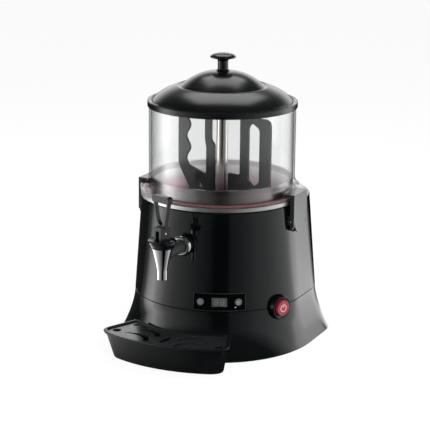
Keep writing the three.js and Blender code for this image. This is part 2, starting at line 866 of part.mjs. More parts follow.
function buildFoot() {
  const top = floorPlateHeight - fitGap;
  const studTop = top + footStudHeight;
  const profile = [[0, 0], [footRadius, 0], [footTopRadius, top], [footStudRadius, top]];
  return revolve([...profile, [footStudRadius, studTop], [0, studTop]], tinySegments * 2);
}

add("upper_housing", buildUpperHousing(), "glossBlack");
add("base_housing", buildBaseHousing(), "glossBlack");
add("bottom_plate", buildBottomPlate(), "steel");
footSpots.forEach(([x, y], i) => add("foot_" + (i + 1), buildFoot(), "rubber").position.set(x, y, 0));

// Water tank, product pan, column and seals

function buildWaterTank() {
  const top = deckHeight + fitGap + sheet;
  const floor = tankFloorHeight;
  const columnHole = columnRadius + fitGap;
  const tank = revolveRing([
    [columnHole, floor],
    [tankRadius, floor],
    [tankRadius, top - sheet],
    [tankFlangeRadius, top - sheet],
    [tankFlangeRadius, top],
    [tankRadius - sheet, top],
    [tankRadius - sheet, floor + sheet],
    [columnHole, floor + sheet],
  ]);
  const heaterHoles = heaterLegs().map(([x, y]) => {
    return bar(heaterTubeRadius + fitGap, floor - cutOverrun, floor + cutOverrun).translate(x, y, 0);
  });
  const probeHole = bar(probeRadius + fitGap, floor - cutOverrun, floor + cutOverrun);
  probeHole.translate(-probeAcross, 0, 0);
  return cut(tank, shankHole, probeHole, ...heaterHoles);
}

function buildProductPan() {
  const under = panFloorHeight - sheet;
  const cornerStart = [panRadius - panCornerRadius, under];
  const corner = bend(cornerStart, [panRadius, under], [panRadius, under + panCornerRadius], cornerSteps);
  const innerCorner = offsetLine(corner, sheet).reverse();
  const columnHole = columnRadius + fitGap;
  const pan = revolveRing([
    [columnHole, under],
    ...corner,
    [panRadius, panFlangeTop - sheet],
    [panBandRadius - sheet, panFlangeTop - sheet],
    [panBandRadius - sheet, panFlangeTop - panBandHeight],
    [panBandRadius, panFlangeTop - panBandHeight],
    [panBandRadius, panFlangeTop],
    [panRadius, panFlangeTop],
    [panRadius, panLipHeight],
    [panRadius - sheet, panLipHeight],
    ...innerCorner,
    [columnHole, panFloorHeight],
  ]);
  return cut(pan, shankHole);
}

function buildColumn() {
  const top = panFloorHeight + fitGap + columnFlangeThickness;
  return revolveRing([
    [columnBoreRadius, tankFloorHeight - cutOverrun / 2],
    [columnRadius, tankFloorHeight - cutOverrun / 2],
    [columnRadius, panFloorHeight + fitGap],
    [columnFlangeRadius, panFloorHeight + fitGap],
    [columnFlangeRadius, top],
    [columnRadius, top],
    [columnRadius, columnTopHeight],
    [columnBoreRadius, columnTopHeight],
  ], smallSegments);
}

function buildLipSeal() {
  const inner = panRadius - sheet - fitGap;
  const outer = panRadius + fitGap;
  const low = panLipHeight - lipSealDepth;
  const slotTop = panLipHeight + fitGap;
  const outerWall = containerBore - panRadius - 2 * fitGap;
  return revolveRing([
    [inner - lipSealWall, low],
    [inner, low],
    [inner, slotTop],
    [outer, slotTop],
    [outer, low],
    [outer + outerWall, low],
    [outer + outerWall, slotTop + lipSealWall],
    [inner - lipSealWall, slotTop + lipSealWall],
  ]);
}

function buildGasket() {
  const low = panFlangeTop + fitGap;
  const inner = containerBore + fitGap;
  return revolveRing([[inner, low], [clipPadReach, low], [clipPadReach, gasketTop], [inner, gasketTop]]);
}

add("water_tank", buildWaterTank(), "steel");
add("product_pan", buildProductPan(), "steel");
add("centre_column", buildColumn(), "steel");
add("pan_lip_seal", buildLipSeal(), "silicone");
add("bowl_gasket", buildGasket(), "silicone");

// Container

function buildContainer() {
  const cove = Array.from({ length: domeSteps + 1 }, (_, i) => {
    const turn = (Math.PI / 2) * (i / domeSteps);
    const x = flangeRadius - (flangeRadius - containerRadius) * Math.sin(turn);
    return [x, coveHeight - (coveHeight - flangeTop) * Math.cos(turn)];
  });
  const wall = revolveRing([
    [containerBore, flangeBottom],
    [flangeRadius, flangeBottom],
    ...cove,
    [containerRadius, containerTopHeight],
    [containerBore, containerTopHeight],
  ]);
  const half = clipHalfWidth + cutOverrun / 2;
  const pads = sides.flatMap(([, side]) => [
    box(pocketInnerX, flangeRadius + cutOverrun, -half, half, flangeTop, coveHeight + cutOverrun),
    box(clipPadReach, flangeRadius + cutOverrun, -half, half, flangeBottom - cutOverrun, coveHeight),
  ].map((pocket) => (side > 0 ? pocket : pocket.rotateZ(Math.PI))));
  return cut(wall, ...pads);
}

add("container", buildContainer(), "clear");

// Lid, its knob and the screw between them

function buildLid() {
  const gutter = lidRimTop - lidGutterDepth;
  const domeShoulder = [domeShoulderRadius, domeShoulderHeight];
  const domeControl = [domeBulgeRadius, domeBulgeHeight];
  const lowerDome = bend([domeFootRadius, gutter], domeControl, domeShoulder, domeSteps);
  const grooveHeight = domeShoulderHeight - crownGroove;
  const crownControl = [crownRadius * crownBulgeShare, crownTopHeight - crownGroove];
  const crown = bend([crownRadius, grooveHeight], crownControl, [knobSeatRadius, crownTopHeight], domeSteps);
  const outer = [...lowerDome, ...crown, [screwRadius + fitGap, crownTopHeight]];
  const inner = offsetLine(outer, lidWall).reverse();
  const skirtInner = containerRadius + fitGap;
  const seat = containerTopHeight + fitGap;
  return revolveRing([
    [skirtInner, lidRimBottom],
    [lidRimRadius, lidRimBottom],
    [lidRimRadius, lidRimTop],
    [lidRimRadius - lidLipWidth, lidRimTop],
    [lidRimRadius - lidLipWidth, gutter],
    ...outer,
    ...inner.slice(0, -1),
    [domeFootRadius - lidWall, seat],
    [skirtInner, seat],
  ]);
}

function buildKnob() {
  const seat = crownTopHeight + fitGap;
  const capControl = [knobCapRadius * knobBulgeShare, knobTopHeight];
  const cap = bend([knobCapRadius, knobCapEdgeHeight], capControl, [0, knobTopHeight], domeSteps);
  const knob = revolve([
    [0, seat],
    [knobRootRadius, seat],
    [knobStemRadius, seat + (knobRootRadius - knobStemRadius)],
    [knobStemRadius, knobUnderHeight],
    [knobCapRadius, knobCapEdgeHeight - lidWall],
    ...cap,
  ], frontSegments);
  return cut(knob, bar(screwRadius + runningGap, 0, screwTop() + runningGap, tinySegments));
}

function screwTop() {
  return crownTopHeight - lidWall - fitGap + screwLength;
}

function buildKnobScrew() {
  const headTop = crownTopHeight - lidWall - fitGap;
  return revolve([
    [0, headTop - screwHeadThickness],
    [screwHeadRadius, headTop - screwHeadThickness],
    [screwHeadRadius, headTop],
    [screwRadius, headTop],
    [screwRadius, screwTop()],
    [0, screwTop()],
  ], tinySegments);
}

add("lid", buildLid(), "satinBlack");
add("lid_knob", buildKnob(), "satinBlack");
add("lid_knob_screw", buildKnobScrew(), "steel");

// Stirrer

function polygon(points) {
  return new THREE.Shape(points.map(([x, y]) => pair(x, y)));
}

function hole(points) {
  return new THREE.Path(points.map(([x, y]) => pair(x, y)));
}

// The wide blade, drawn in distance from the axis and height.
function wideBladeShape() {
  const corner = bend([wideBladeReach, bladeTopHeight - wideBladeCorner], [wideBladeReach, bladeTopHeight],
    [wideBladeReach - wideBladeCorner, bladeTopHeight], domeSteps);
  const shape = polygon([
    [0, bladeBottomHeight],
    [wideBladeReach, bladeBottomHeight],
    ...corner,
    [wideBladePost, bladeTopHeight],
    [wideBladePost, wideBladeWebHeight],
    [hubRadius, wideBladeWebHeight],
    [hubRadius, bladeBottomHeight + hubHeight],
    [0, bladeBottomHeight + hubHeight],
  ]);
  const slotMiddle = (wideSlotInner + wideSlotOuter) / 2;
  shape.holes.push(hole([
    [slotMiddle, wideSlotBottom],
    [wideSlotInner, wideSlotBottom + wideSlotShoulder],
    [wideSlotInner, wideSlotTop - wideSlotShoulder],
    [slotMiddle - wideSlotShoulder / 2, wideSlotTop],
    [wideSlotOuter, wideSlotTop - wideSlotShoulder],
    [wideSlotOuter, wideSlotBottom + wideSlotShoulder],
  ]));
  return shape;
}

// The waved blade: a wavy outer leg, an inner post with a step, and a slot through the web.
function waveBladeShape() {
  const waves = [];
  const middle = (waveCrest + waveTrough) / 2;
  const swing = (waveCrest - waveTrough) / 2;
  const steps = waveSteps;
  const low = waveWindowBottom + wavePitch / 4;
  for (let i = 0; i <= steps; i += 1) {
    const height = THREE.MathUtils.lerp(low, bladeTopHeight, i / steps);
    const turn = (2 * Math.PI * (wavePostStepHeight - height)) / wavePitch;
    waves.push([middle + swing * Math.cos(turn), height]);
  }
  const shape = polygon([
    [0, bladeBottomHeight],
    [waveBladeHeel, bladeBottomHeight],
    [waveBladeHeel, waveHeelHeight],
    [waveBladeReach, waveBreakHeight],
    [waveBladeReach, bladeTopHeight],
    ...waves.reverse(),
    [waveTrough - wavePitch / 4, waveWindowBottom],
    [wavePostOuterLow, waveWindowBottom],
    [wavePostOuterLow, wavePostStepHeight - wavePostOuterLow + wavePostInner],
    [wavePostOuter, wavePostStepHeight],
    [wavePostOuter, bladeTopHeight],
    [wavePostInner, bladeTopHeight],
    [wavePostInner, wavePostStepHeight],
    [wavePostInnerLow, wavePostStepHeight - wavePostInner + wavePostInnerLow],
    [wavePostInnerLow, bladeBottomHeight + hubHeight],
    [0, bladeBottomHeight + hubHeight],
  ]);
  const slotInner = waveSlotReach - waveSlotWidth / 2;
  shape.holes.push(hole([
    [slotInner, waveSlotFloor],
    [slotInner + waveSlotWidth, waveSlotFloor],
    [waveSlotReach, waveSlotFloor + waveSlotHeight],
  ]));
  return shape;
}

function buildPaddle() {
  const half = bladeThickness / 2;
  const wide = slabAlongY(wideBladeShape(), -half, half);
  const wave = slabAlongY(waveBladeShape(), -half, half).rotateZ(Math.PI);
  const hub = bar(hubRadius, bladeBottomHeight, bladeBottomHeight + hubHeight, smallSegments);
  const bore = bar(sleeveRadius + fitGap, bladeBottomHeight - cutOverrun, bladeTopHeight + cutOverrun);
  return cut(join(wide, wave, hub), bore);
}

function buildSleeve() {
  const inner = sleeveRadius - sleeveWall;
  const profile = [[inner, sleeveBottomHeight], [sleeveRadius, sleeveBottomHeight]];
  return revolveRing([...profile, [sleeveRadius, sleeveTopHeight], [inner, sleeveTopHeight]], smallSegments);
}

// The drive cap closes the sleeve and takes the shaft's turning to it.
function buildDriveCap() {
  const plug = sleeveRadius - sleeveWall - runningGap;
  const seat = sleeveTopHeight + fitGap;
  const low = columnTopHeight + fitGap;
  const bore = shaftRadius + runningGap;
  const holeTop = seat + capHeight - capThickness;
  return revolve([
    [0, seat + capHeight],
    [capRadius, seat + capHeight - capThickness],
    [capRadius, seat],
    [plug, seat],
    [plug, low],
    [bore, low],
    [bore, holeTop],
    [0, holeTop],
  ], smallSegments);
}

const shaftBottom = bracketTopHeight + fitGap + gearboxHeight - cutOverrun;
const shaftTop = sleeveTopHeight + fitGap + capHeight - capThickness - fitGap;

add("stirrer_sleeve", buildSleeve(), "steel");
const paddlePlacement = new THREE.Matrix4().makeRotationZ(radians(paddleAngle - 90));
add("stirrer_paddle", buildPaddle(), "mattBlack", paddlePlacement);
add("drive_cap", buildDriveCap(), "mattBlack");
add("drive_shaft", bar(shaftRadius, shaftBottom, shaftTop), "steel");

// Gear motor under the tank

function buildMotorBracket() {
  const foot = plateTopHeight;
  const outer = bracketHalfWidth;
  const inner = bracketHalfWidth - bracketSheet;
  const wide = bracketHalfWidth + bracketFootWidth;
  const shape = polygon([
    [-wide, foot],
    [-inner, foot],
    [-inner, bracketTopHeight - bracketSheet],
    [inner, bracketTopHeight - bracketSheet],
    [inner, foot],
    [wide, foot],
    [wide, foot + bracketSheet],
    [outer, foot + bracketSheet],
    [outer, bracketTopHeight],
    [-outer, bracketTopHeight],
    [-outer, foot + bracketSheet],
    [-wide, foot + bracketSheet],
  ]);
  const neckHole = bar(bracketHoleRadius, bracketTopHeight - cutOverrun, bracketTopHeight + cutOverrun);
  return cut(slabAlongY(shape, -bracketDepth / 2, bracketDepth / 2), neckHole);
}

function buildGearbox() {
  const half = gearboxSide / 2;
  const low = bracketTopHeight + fitGap;
  const top = low + gearboxHeight;
  const boss = bar(gearboxBossRadius, top - cutOverrun, top + gearboxBossHeight);
  const bore = bar(shaftRadius + runningGap, shaftBottom - fitGap, top + gearboxBossHeight + cutOverrun);
  return cut(join(box(-half, half, -half, half, low, top), boss), bore);
}

function buildMotor() {
  const top = bracketTopHeight - bracketSheet - fitGap;
  const neckTop = bracketTopHeight;
  return revolve([
    [0, top - motorHeight],
    [motorRadius, top - motorHeight],
    [motorRadius, top],
    [motorNeckRadius, top],
    [motorNeckRadius, neckTop],
    [0, neckTop],
  ], smallSegments);
}

add("motor_bracket", buildMotorBracket(), "steel");
add("gearbox", buildGearbox(), "motorGrey");
add("motor", buildMotor(), "motorGrey");

// Heater, probe and cutout

function heaterLegs() {
  const half = radians(heaterGapAngle / 2);
  const x = heaterRingRadius * Math.sin(half);
  const y = heaterRingRadius * Math.cos(half);
  return [[-x, y], [x, y]];
}

function buildHeater() {
  const level = tankFloorHeight + sheet + heaterHeightAboveFloor;
  const steps = roundSegments / 2;
  const start = radians(90 + heaterGapAngle / 2);
  const sweep = radians(360 - heaterGapAngle);
  const ring = Array.from({ length: steps + 1 }, (_, i) => {
    const turn = start + (sweep * i) / steps;
    return new THREE.Vector3(heaterRingRadius * Math.cos(turn), heaterRingRadius * Math.sin(turn), level);
  });
  const path = new THREE.CatmullRomCurve3(ring);
  const section = new THREE.Shape().absarc(0, 0, heaterTubeRadius, 0, 2 * Math.PI);
  const options = { steps, bevelEnabled: false, extrudePath: path, curveSegments: tubeCurves };
  const tube = new THREE.ExtrudeGeometry(section, options);
  const legs = heaterLegs().map(([x, y]) => {
    const leg = bar(heaterTubeRadius, level - heaterLegDrop, level + heaterTubeRadius, tinySegments);
    return leg.translate(x, y, 0);
  });
  return join(tube, ...legs);
}

function buildProbe() {
  const head = tankFloorHeight - fitGap;
  return revolve([
    [0, head - probeHeadHeight],
    [probeHeadRadius, head - probeHeadHeight],
    [probeHeadRadius, head],
    [probeRadius, head],
    [probeRadius, head + probeLength - probeHeadHeight],
    [0, head + probeLength - probeHeadHeight],
  ], tinySegments);
}

add("heating_element", buildHeater(), "steel");
add("temperature_probe", buildProbe(), "steel").position.x = -probeAcross;
const cutoutTop = tankFloorHeight - fitGap;
const cutout = bar(cutoutRadius, cutoutTop - cutoutHeight, cutoutTop);
add("thermal_cutout", cutout, "mattBlack").position.x = cutoutAcross;

// Control panel

const panelMiddle = panelBottomHeight + panelHeight / 2;

function buttonPlacement(side) {
  return outward(panelAngle + side * buttonAngle, wallRadius(panelMiddle) + panelThickness, panelMiddle);
}

function displayPlacement() {
  return outward(panelAngle, wallRadius(panelMiddle) + panelThickness, panelMiddle);
}

function block(width, height, back, face) {
  return box(-width / 2, width / 2, -height / 2, height / 2, back, face);
}

function buildPanel() {
  const top = panelBottomHeight + panelHeight;
  const plate = curvedPlate(panelAngle, panelHalfAngle, panelBottomHeight, top, fitGap, panelThickness);
  const bores = sides.map(([, side]) => {
    const bore = bar(buttonRadius + runningGap, -bodyWall - panelThickness, cutOverrun);
    return bore.applyMatrix4(buttonPlacement(side));
  });
  const openingWidth = displayWidth + 2 * runningGap;
  const opening = block(openingWidth, displayHeight + 2 * runningGap, -bodyWall, cutOverrun);
  return cut(plate, ...bores, opening.applyMatrix4(displayPlacement()));
}

function buildButton() {
  const flangeFace = -panelThickness - bodyWall / 2;
  return revolve([
    [0, buttonStand],
    [buttonRadius, buttonStand],
    [buttonRadius, flangeFace],
    [buttonFlangeRadius, flangeFace],
    [buttonFlangeRadius, flangeFace - buttonFlangeThickness],
    [stemRadius, flangeFace - buttonFlangeThickness],
    [stemRadius, buttonStand - buttonLength - cutOverrun],
    [0, buttonStand - buttonLength - cutOverrun],
  ], smallSegments);
}

add("panel_bezel", buildPanel(), "satinBlack");
sides.forEach(([word, side]) => add("button_" + word, buildButton(), "satinBlack", buttonPlacement(side)));
const windowBlock = block(displayWidth, displayHeight, -displayThickness, 0);
add("display_window", windowBlock, "display", displayPlacement());
const boardPlacement = outward(panelAngle, boardDistance, panelMiddle);
add("control_board", block(boardWidth, boardHeight, -boardThickness, 0), "circuit", boardPlacement);
const displayBack = wallRadius(panelMiddle) + panelThickness - displayThickness;
const moduleReach = displayBack - fitGap - boardDistance;
const moduleWidth = displayWidth - 2 * displayModuleMargin;
const moduleHeight = displayHeight - 2 * displayModuleMargin;
add("display_module", block(moduleWidth, moduleHeight, fitGap, moduleReach), "mattBlack", boardPlacement);

// Power switch

const switchPlacement = outward(switchAngle, wallRadius(switchHeight), switchHeight);

function buildSwitchBezel() {
  const bore = switchCapRadius + fitGap;
  return revolveRing([
    [bore, -switchBezelBack],
    [switchBezelRadius, -switchBezelBack],
    [switchBezelRadius, bodyWall],
    [switchFaceRadius, switchFaceStand],
    [bore, switchFaceStand],
  ], roundSegments / 2);
}

function buildSwitchCap() {
  const face = switchFaceStand + switchCapStand;
  return revolve([
    [0, face - switchCapDepth],
    [switchCapRadius, face - switchCapDepth],
    [switchCapRadius, face - fitGap],
    [switchCapRadius - fitGap, face],
    [0, face],
  ], roundSegments / 2);
}

function buildSwitchBody() {
  const front = -switchBezelBack - fitGap;
  return bar(switchBodyRadius, front - switchBodyLength, front);
}

add("switch_bezel", buildSwitchBezel(), "satinBlack", switchPlacement);
add("switch_cap", buildSwitchCap(), "red", switchPlacement);
add("switch_body", buildSwitchBody(), "mattBlack", switchPlacement);

// Tap

// The spout's outside, from the tip up, grown by a margin.
function spoutOutline(margin) {
  const tip = spoutTipRadius + margin;
  const waist = [tip, spoutWaistHeight];
  const rim = [spoutTopRadius + margin, spoutTopHeight];
  const curve = bend(waist, [tip, spoutWaistHeight + cupHeight], rim, domeSteps);
  return [[tip, spoutTipHeight], waist, ...curve.slice(1)];
}

function buildTapBody() {
  const outer = spoutOutline(0);
  const inner = offsetLine(outer, spoutWall).reverse();
  const bore = spoutTipRadius - spoutWall;
  const chamber = inner.filter(([, height]) => height > seatHeight);
  const spout = revolveRing([
    ...outer,
    [inner[0][0], spoutTopHeight],
    ...chamber.slice(1),
    [bore, seatHeight],
    [seatBoreRadius, seatHeight],
    [seatBoreRadius, seatHeight - seatThickness],
    [bore, seatHeight - seatThickness],
    [bore, spoutTipHeight],
  ], roundSegments / 2);
  const inlet = barAlongY(shankBoreRadius, 0, tapDistance, 0, shankHeight);
  return cut(spout, inlet);
}

function buildTapShank() {
  const start = -tapDistance + shankBoreRadius;
  const tube = barAlongY(shankRadius, start, -shankInnerEnd, 0, shankHeight, smallSegments);
  const bore = barAlongY(shankBoreRadius, start - cutOverrun, cutOverrun - shankInnerEnd, 0, shankHeight);
  const spoutProfile = [[0, spoutTipHeight], ...spoutOutline(fitGap), [0, spoutTopHeight]];
  const saddle = revolve(spoutProfile, roundSegments / 2);
  return cut(tube, bore, saddle.translate(0, -tapDistance, 0));
}

// A ring about the shank, from its [radius, distance from the axis] profile.
function shankRing(profile, segments = roundSegments / 2) {
  const placement = outward(0, 0, shankHeight);
  return revolveRing(profile, segments).applyMatrix4(placement);
}

const shankRingBore = shankRadius + fitGap;
const escutcheonBack = wallRadius(shankHeight - escutcheonRadius) + fitGap;
const nutBack = escutcheonBack + escutcheonThickness + fitGap;
const escutcheonFace = escutcheonBack + escutcheonThickness;
const lockNutOuter = panRadius - sheet - fitGap;

function buildShankNut() {
  const face = nutBack + nutLength;
  const domeStart = [nutRadius, nutBack + nutLength / 3];
  const dome = bend(domeStart, [nutRadius, face], [nutFaceRadius, face], domeSteps);
  return shankRing([[shankRingBore, nutBack], [nutRadius, nutBack], ...dome, [shankRingBore, face]]);
}

function buildLockNut() {
  const seat = -Math.sqrt(lockNutOuter ** 2 - lockNutRadius ** 2);
  const end = seat + lockNutThickness;
  const nut = barAlongY(lockNutRadius, seat, end, 0, shankHeight, nutSides);
  return cut(nut, barAlongY(shankRingBore, seat - cutOverrun, end + cutOverrun, 0, shankHeight));
}

function buildBonnet() {
  const low = spoutTopHeight + fitGap;
  const top = low + bonnetHeight;
  return revolveRing([
    [springRadius + springGap + springWireRadius, low],
    [bonnetBottomRadius, low],
    [bonnetTopRadius, top],
    [bonnetTopRadius - bonnetCrown, top + bonnetCrown],
    [bonnetBore, top + bonnetCrown],
    [bonnetBore, low + bonnetCavityHeight],
    [springRadius + springGap + springWireRadius, low + bonnetCavityHeight],
  ], roundSegments / 2);
}

const bonnetTop = spoutTopHeight + fitGap + bonnetHeight + bonnetCrown;
const springTop = spoutTopHeight + fitGap + bonnetCavityHeight - fitGap;
const cupBottom = seatHeight + fitGap;
const cupTop = cupBottom + cupHeight;

function handlePinHole() {
  const radius = handlePinRadius + runningGap;
  return barAlongX(radius, -neckWidth, neckWidth, 0, handlePinHeight, tinySegments);
}

// The stem carries the seat cup at its foot, a collar under the spring and the pivot eye at its head.
function buildStem() {
  const eye = neckSlotWidth / 2 - fitGap;
  const rod = bar(stemRadius, cupTop + fitGap, handlePinHeight, tinySegments);
  const collarFoot = cupTop + fitGap;
  const collar = bar(springRadius + springWireRadius, collarFoot, collarFoot + springGap * 2);
  const foot = bar(stemRadius, cupBottom + springGap * 2, cupTop + fitGap, tinySegments);
  const head = barAlongX(eye, -eye, eye, 0, handlePinHeight, tinySegments);
  return cut(join(rod, collar, foot, head), handlePinHole());
}

function buildSeatCup() {
  const bore = stemRadius + fitGap;
  return revolveRing([
    [bore, cupBottom],
    [cupRadius - fitGap, cupBottom],
    [cupRadius, cupBottom + fitGap],
    [cupRadius, cupTop],
    [bore, cupTop],
  ], smallSegments);
}

// A coil spring between the stem's collar and the bonnet, one unbroken wire.
function buildSpring() {
  const low = cupTop + fitGap + springGap * 2 + fitGap + springWireRadius;
  const high = springTop - springWireRadius;
  const steps = springTurns * springSteps;
  const coil = Array.from({ length: steps + 1 }, (_, i) => {
    const turn = (2 * Math.PI * i) / springSteps;
    const height = THREE.MathUtils.lerp(low, high, i / steps);
    return new THREE.Vector3(springRadius * Math.cos(turn), springRadius * Math.sin(turn), height);
  });
  const section = new THREE.Shape().absarc(0, 0, springWireRadius, 0, 2 * Math.PI);
  const path = new THREE.CatmullRomCurve3(coil);
  const options = { steps, bevelEnabled: false, extrudePath: path, curveSegments: tubeCurves };
  return new THREE.ExtrudeGeometry(section, options);
}

function buildHandle() {
  const top = loopTopHeight;
  const side = loopTopHalfWidth;
  const barLow = top - loopBarHeight;
  const root = neckTopHeight - loopCorner;
  const legs = polygon([
    [-loopRootHalfWidth, root],
    [loopRootHalfWidth, root],
    [loopLegHalfWidth, barLow + loopCorner],
    [-loopLegHalfWidth, barLow + loopCorner],
  ]);
  const low = loopOpeningBottom;
  const opening = new THREE.Path();
  opening.moveTo(-loopOpeningHalfWidth, loopOpeningTop);
  opening.lineTo(loopOpeningHalfWidth, loopOpeningTop);
  opening.quadraticCurveTo(loopOpeningWaist, low, 0, low);
  opening.quadraticCurveTo(-loopOpeningWaist, low, -loopOpeningHalfWidth, loopOpeningTop);
  legs.holes.push(opening);
  const loop = slabAlongY(legs, -loopDepth / 2, loopDepth / 2, domeSteps);
  const barShape = new THREE.Shape();
  barShape.moveTo(loopCorner / 2 - side, barLow);
  barShape.lineTo(side - loopCorner / 2, barLow);
  barShape.quadraticCurveTo(side, barLow, side, barLow + loopCorner / 2);
  barShape.lineTo(side, top - loopCorner);
  barShape.quadraticCurveTo(side, top, side - loopCorner, top);
  barShape.lineTo(loopCorner - side, top);
  barShape.quadraticCurveTo(-side, top, -side, top - loopCorner);
  barShape.lineTo(-side, barLow + loopCorner / 2);
  barShape.quadraticCurveTo(-side, barLow, loopCorner / 2 - side, barLow);
  const topBar = slabAlongY(barShape, -loopBarDepth / 2, loopBarDepth / 2, domeSteps);
  const neckBottom = bonnetTop + fitGap;
  const half = neckWidth / 2;
  const depth = neckDepth / 2;
  const neck = box(-half, half, -depth, depth, neckBottom, neckTopHeight);
  const slotHalf = neckSlotWidth / 2;
  const slotTop = handlePinHeight + neckSlotHeight / 2;
  const slot = box(-slotHalf, slotHalf, -neckDepth, neckDepth, neckBottom - cutOverrun, slotTop);
  return cut(join(loop, topBar, neck), slot, handlePinHole());
}

const tapPlacement = new THREE.Matrix4().makeTranslation(0, -tapDistance, 0);
const handleTurn = new THREE.Matrix4().makeRotationZ(-radians(handleTurnAngle));
const handlePlacement = tapPlacement.clone().multiply(handleTurn);
add("tap_shank", buildTapShank(), "mattBlack");
add("shank_nut", buildShankNut(), "chrome");
const escutcheonProfile = [
  [shankRingBore, escutcheonBack],
  [escutcheonRadius, escutcheonBack],
  [escutcheonRadius, escutcheonFace],
  [shankRingBore, escutcheonFace],
];
add("escutcheon", shankRing(escutcheonProfile), "chrome");
add("shank_lock_nut", buildLockNut(), "steel");
add("tap_body", buildTapBody(), "chrome", tapPlacement);
add("tap_bonnet", buildBonnet(), "glossBlack", tapPlacement);
add("tap_stem", buildStem(), "steel", handlePlacement);
add("tap_seat_cup", buildSeatCup(), "silicone", tapPlacement);
add("tap_spring", buildSpring(), "steel", tapPlacement);
add("tap_handle", buildHandle(), "satinBlack", handlePlacement);
const pinHalf = neckWidth / 2;
const handlePin = barAlongX(handlePinRadius, -pinHalf, pinHalf, 0, handlePinHeight, tinySegments);
add("tap_handle_pin", handlePin, "steel", handlePlacement);

// Side clips

function clipPinHole() {
  const reach = clipPlateHalfWidth;
  return barAlongY(clipPinRadius + runningGap, -reach, reach, clipPinX, clipPinHeight);
}

function buildClip() {
  const roofTop = flangeTop + fitGap + clipRoofThickness;
  const cheekShape = polygon([
    [clipLobeInnerX, clipLobeHeight],
    [clipLobeInnerX + clipLobeWidth, clipLobeHeight],
    [clipLobeInnerX + clipLobeWidth, clipNotchHeight],
    [clipOuterX, clipNotchHeight],
    [clipOuterX, roofTop],
    [clipCheekInnerX, roofTop],
    [clipCheekInnerX, clipPinHeight],
  ]);
  const cheeks = sides.map(([, side]) => {
    const outer = side * clipHalfWidth;
    const inner = side * (clipHalfWidth - clipCheek);
    return slabAlongY(cheekShape, Math.min(outer, inner), Math.max(outer, inner));
  });
  const roof = box(clipInnerX, clipOuterX, -clipHalfWidth, clipHalfWidth, flangeTop + fitGap, roofTop);
  const tongueShape = new THREE.Shape();
  tongueShape.moveTo(-clipHalfWidth, roofTop);
  tongueShape.lineTo(-clipHalfWidth, clipTongueTaper);
  tongueShape.quadraticCurveTo(-clipHalfWidth, clipTongueHeight, 0, clipTongueHeight);
  tongueShape.quadraticCurveTo(clipHalfWidth, clipTongueHeight, clipHalfWidth, clipTongueTaper);
  tongueShape.lineTo(clipHalfWidth, roofTop);
  const tongue = slabAlongX(tongueShape, clipOuterX - clipPlate, clipOuterX, domeSteps);
  return cut(join(roof, tongue, ...cheeks), clipPinHole());
}

// The bracket sits inside the body and reaches its two pierced lugs out through the wall.
function buildClipBracket() {
  const lugOuter = clipHalfWidth - clipCheek - clipLugInset;
  const face = clipPlateX + clipPlateThickness;
  const plateHalf = clipPlateHalfWidth;
  const plate = box(clipPlateX, face, -plateHalf, plateHalf, clipWindowBottom, clipWindowTop);
  const lugs = sides.map(([, side]) => {
    const outer = side * lugOuter;
    const inner = side * (lugOuter - clipCheek);
    const [y0, y1] = [Math.min(outer, inner), Math.max(outer, inner)];
    const low = clipPinHeight - clipLugRadius;
    const arm = box(clipPlateX, clipPinX, y0, y1, low, low + 2 * clipLugRadius);
    return join(arm, barAlongY(clipLugRadius, y0, y1, clipPinX, clipPinHeight));
  });
  return cut(join(plate, ...lugs), clipPinHole());
}

sides.forEach(([word, side]) => {
  const placement = sidePlacement(side);
  add("clip_" + word, buildClip(), "satinBlack", placement);
  const pin = barAlongY(clipPinRadius, -clipHalfWidth, clipHalfWidth, clipPinX, clipPinHeight);
  add("clip_pin_" + word, pin, "steel", placement);
  add("clip_bracket_" + word, buildClipBracket(), "mattBlack", placement);
});

// Drip tray and grate

// The tray's outline at a height, drawn in from its edge; the rear edge keeps its own inset.
function trayOutline(height, inset, rearInset = inset) {
  const share = (height - trayFloorGap) / (trayRimTop - trayFloorGap);
  const front = THREE.MathUtils.lerp(trayFootFrontReach, trayFrontReach, share) - inset;
  const rear = THREE.MathUtils.lerp(trayFootRearReach, trayRearReach, share) + rearInset;
  const frontHalf = THREE.MathUtils.lerp(trayFootFrontHalfWidth, trayFrontHalfWidth, share) - inset;
  const rearHalf = THREE.MathUtils.lerp(trayFootRearHalfWidth, trayRearHalfWidth, share) - inset;
  const onArc = (reach, x) => [x, -Math.sqrt(reach ** 2 - x ** 2)];
  const rearCorner = onArc(rear, rearHalf);
  const frontCorner = onArc(front, frontHalf);
  const sideLength = Math.hypot(frontCorner[0] - rearCorner[0], frontCorner[1] - rearCorner[1]);
  const back = trayCorner / sideLength;
  const sidePoint = frontCorner.map((value, i) => value + (rearCorner[i] - value) * back);
  const frontPoint = onArc(front, frontHalf - trayCorner);
  const rounding = bend(sidePoint, frontCorner, frontPoint, domeSteps);
  const steps = trayArcSteps;
  const rearArc = Array.from({ length: steps + 1 }, (_, i) => {
    return onArc(rear, rearHalf * ((2 * i) / steps - 1));
  });
  const frontArc = Array.from({ length: steps - 1 }, (_, i) => {
    return onArc(front, frontPoint[0] * (1 - (2 * (i + 1)) / steps));
  });
  const mirrored = rounding.map(([x, y]) => [-x, y]).reverse();
  const points = [...rearArc, ...rounding, ...frontArc, ...mirrored];
  return points.reverse().map(([x, y]) => new THREE.Vector3(x, y, height));
}

const grateSeat = trayRimTop - grateDrop - grateThickness;

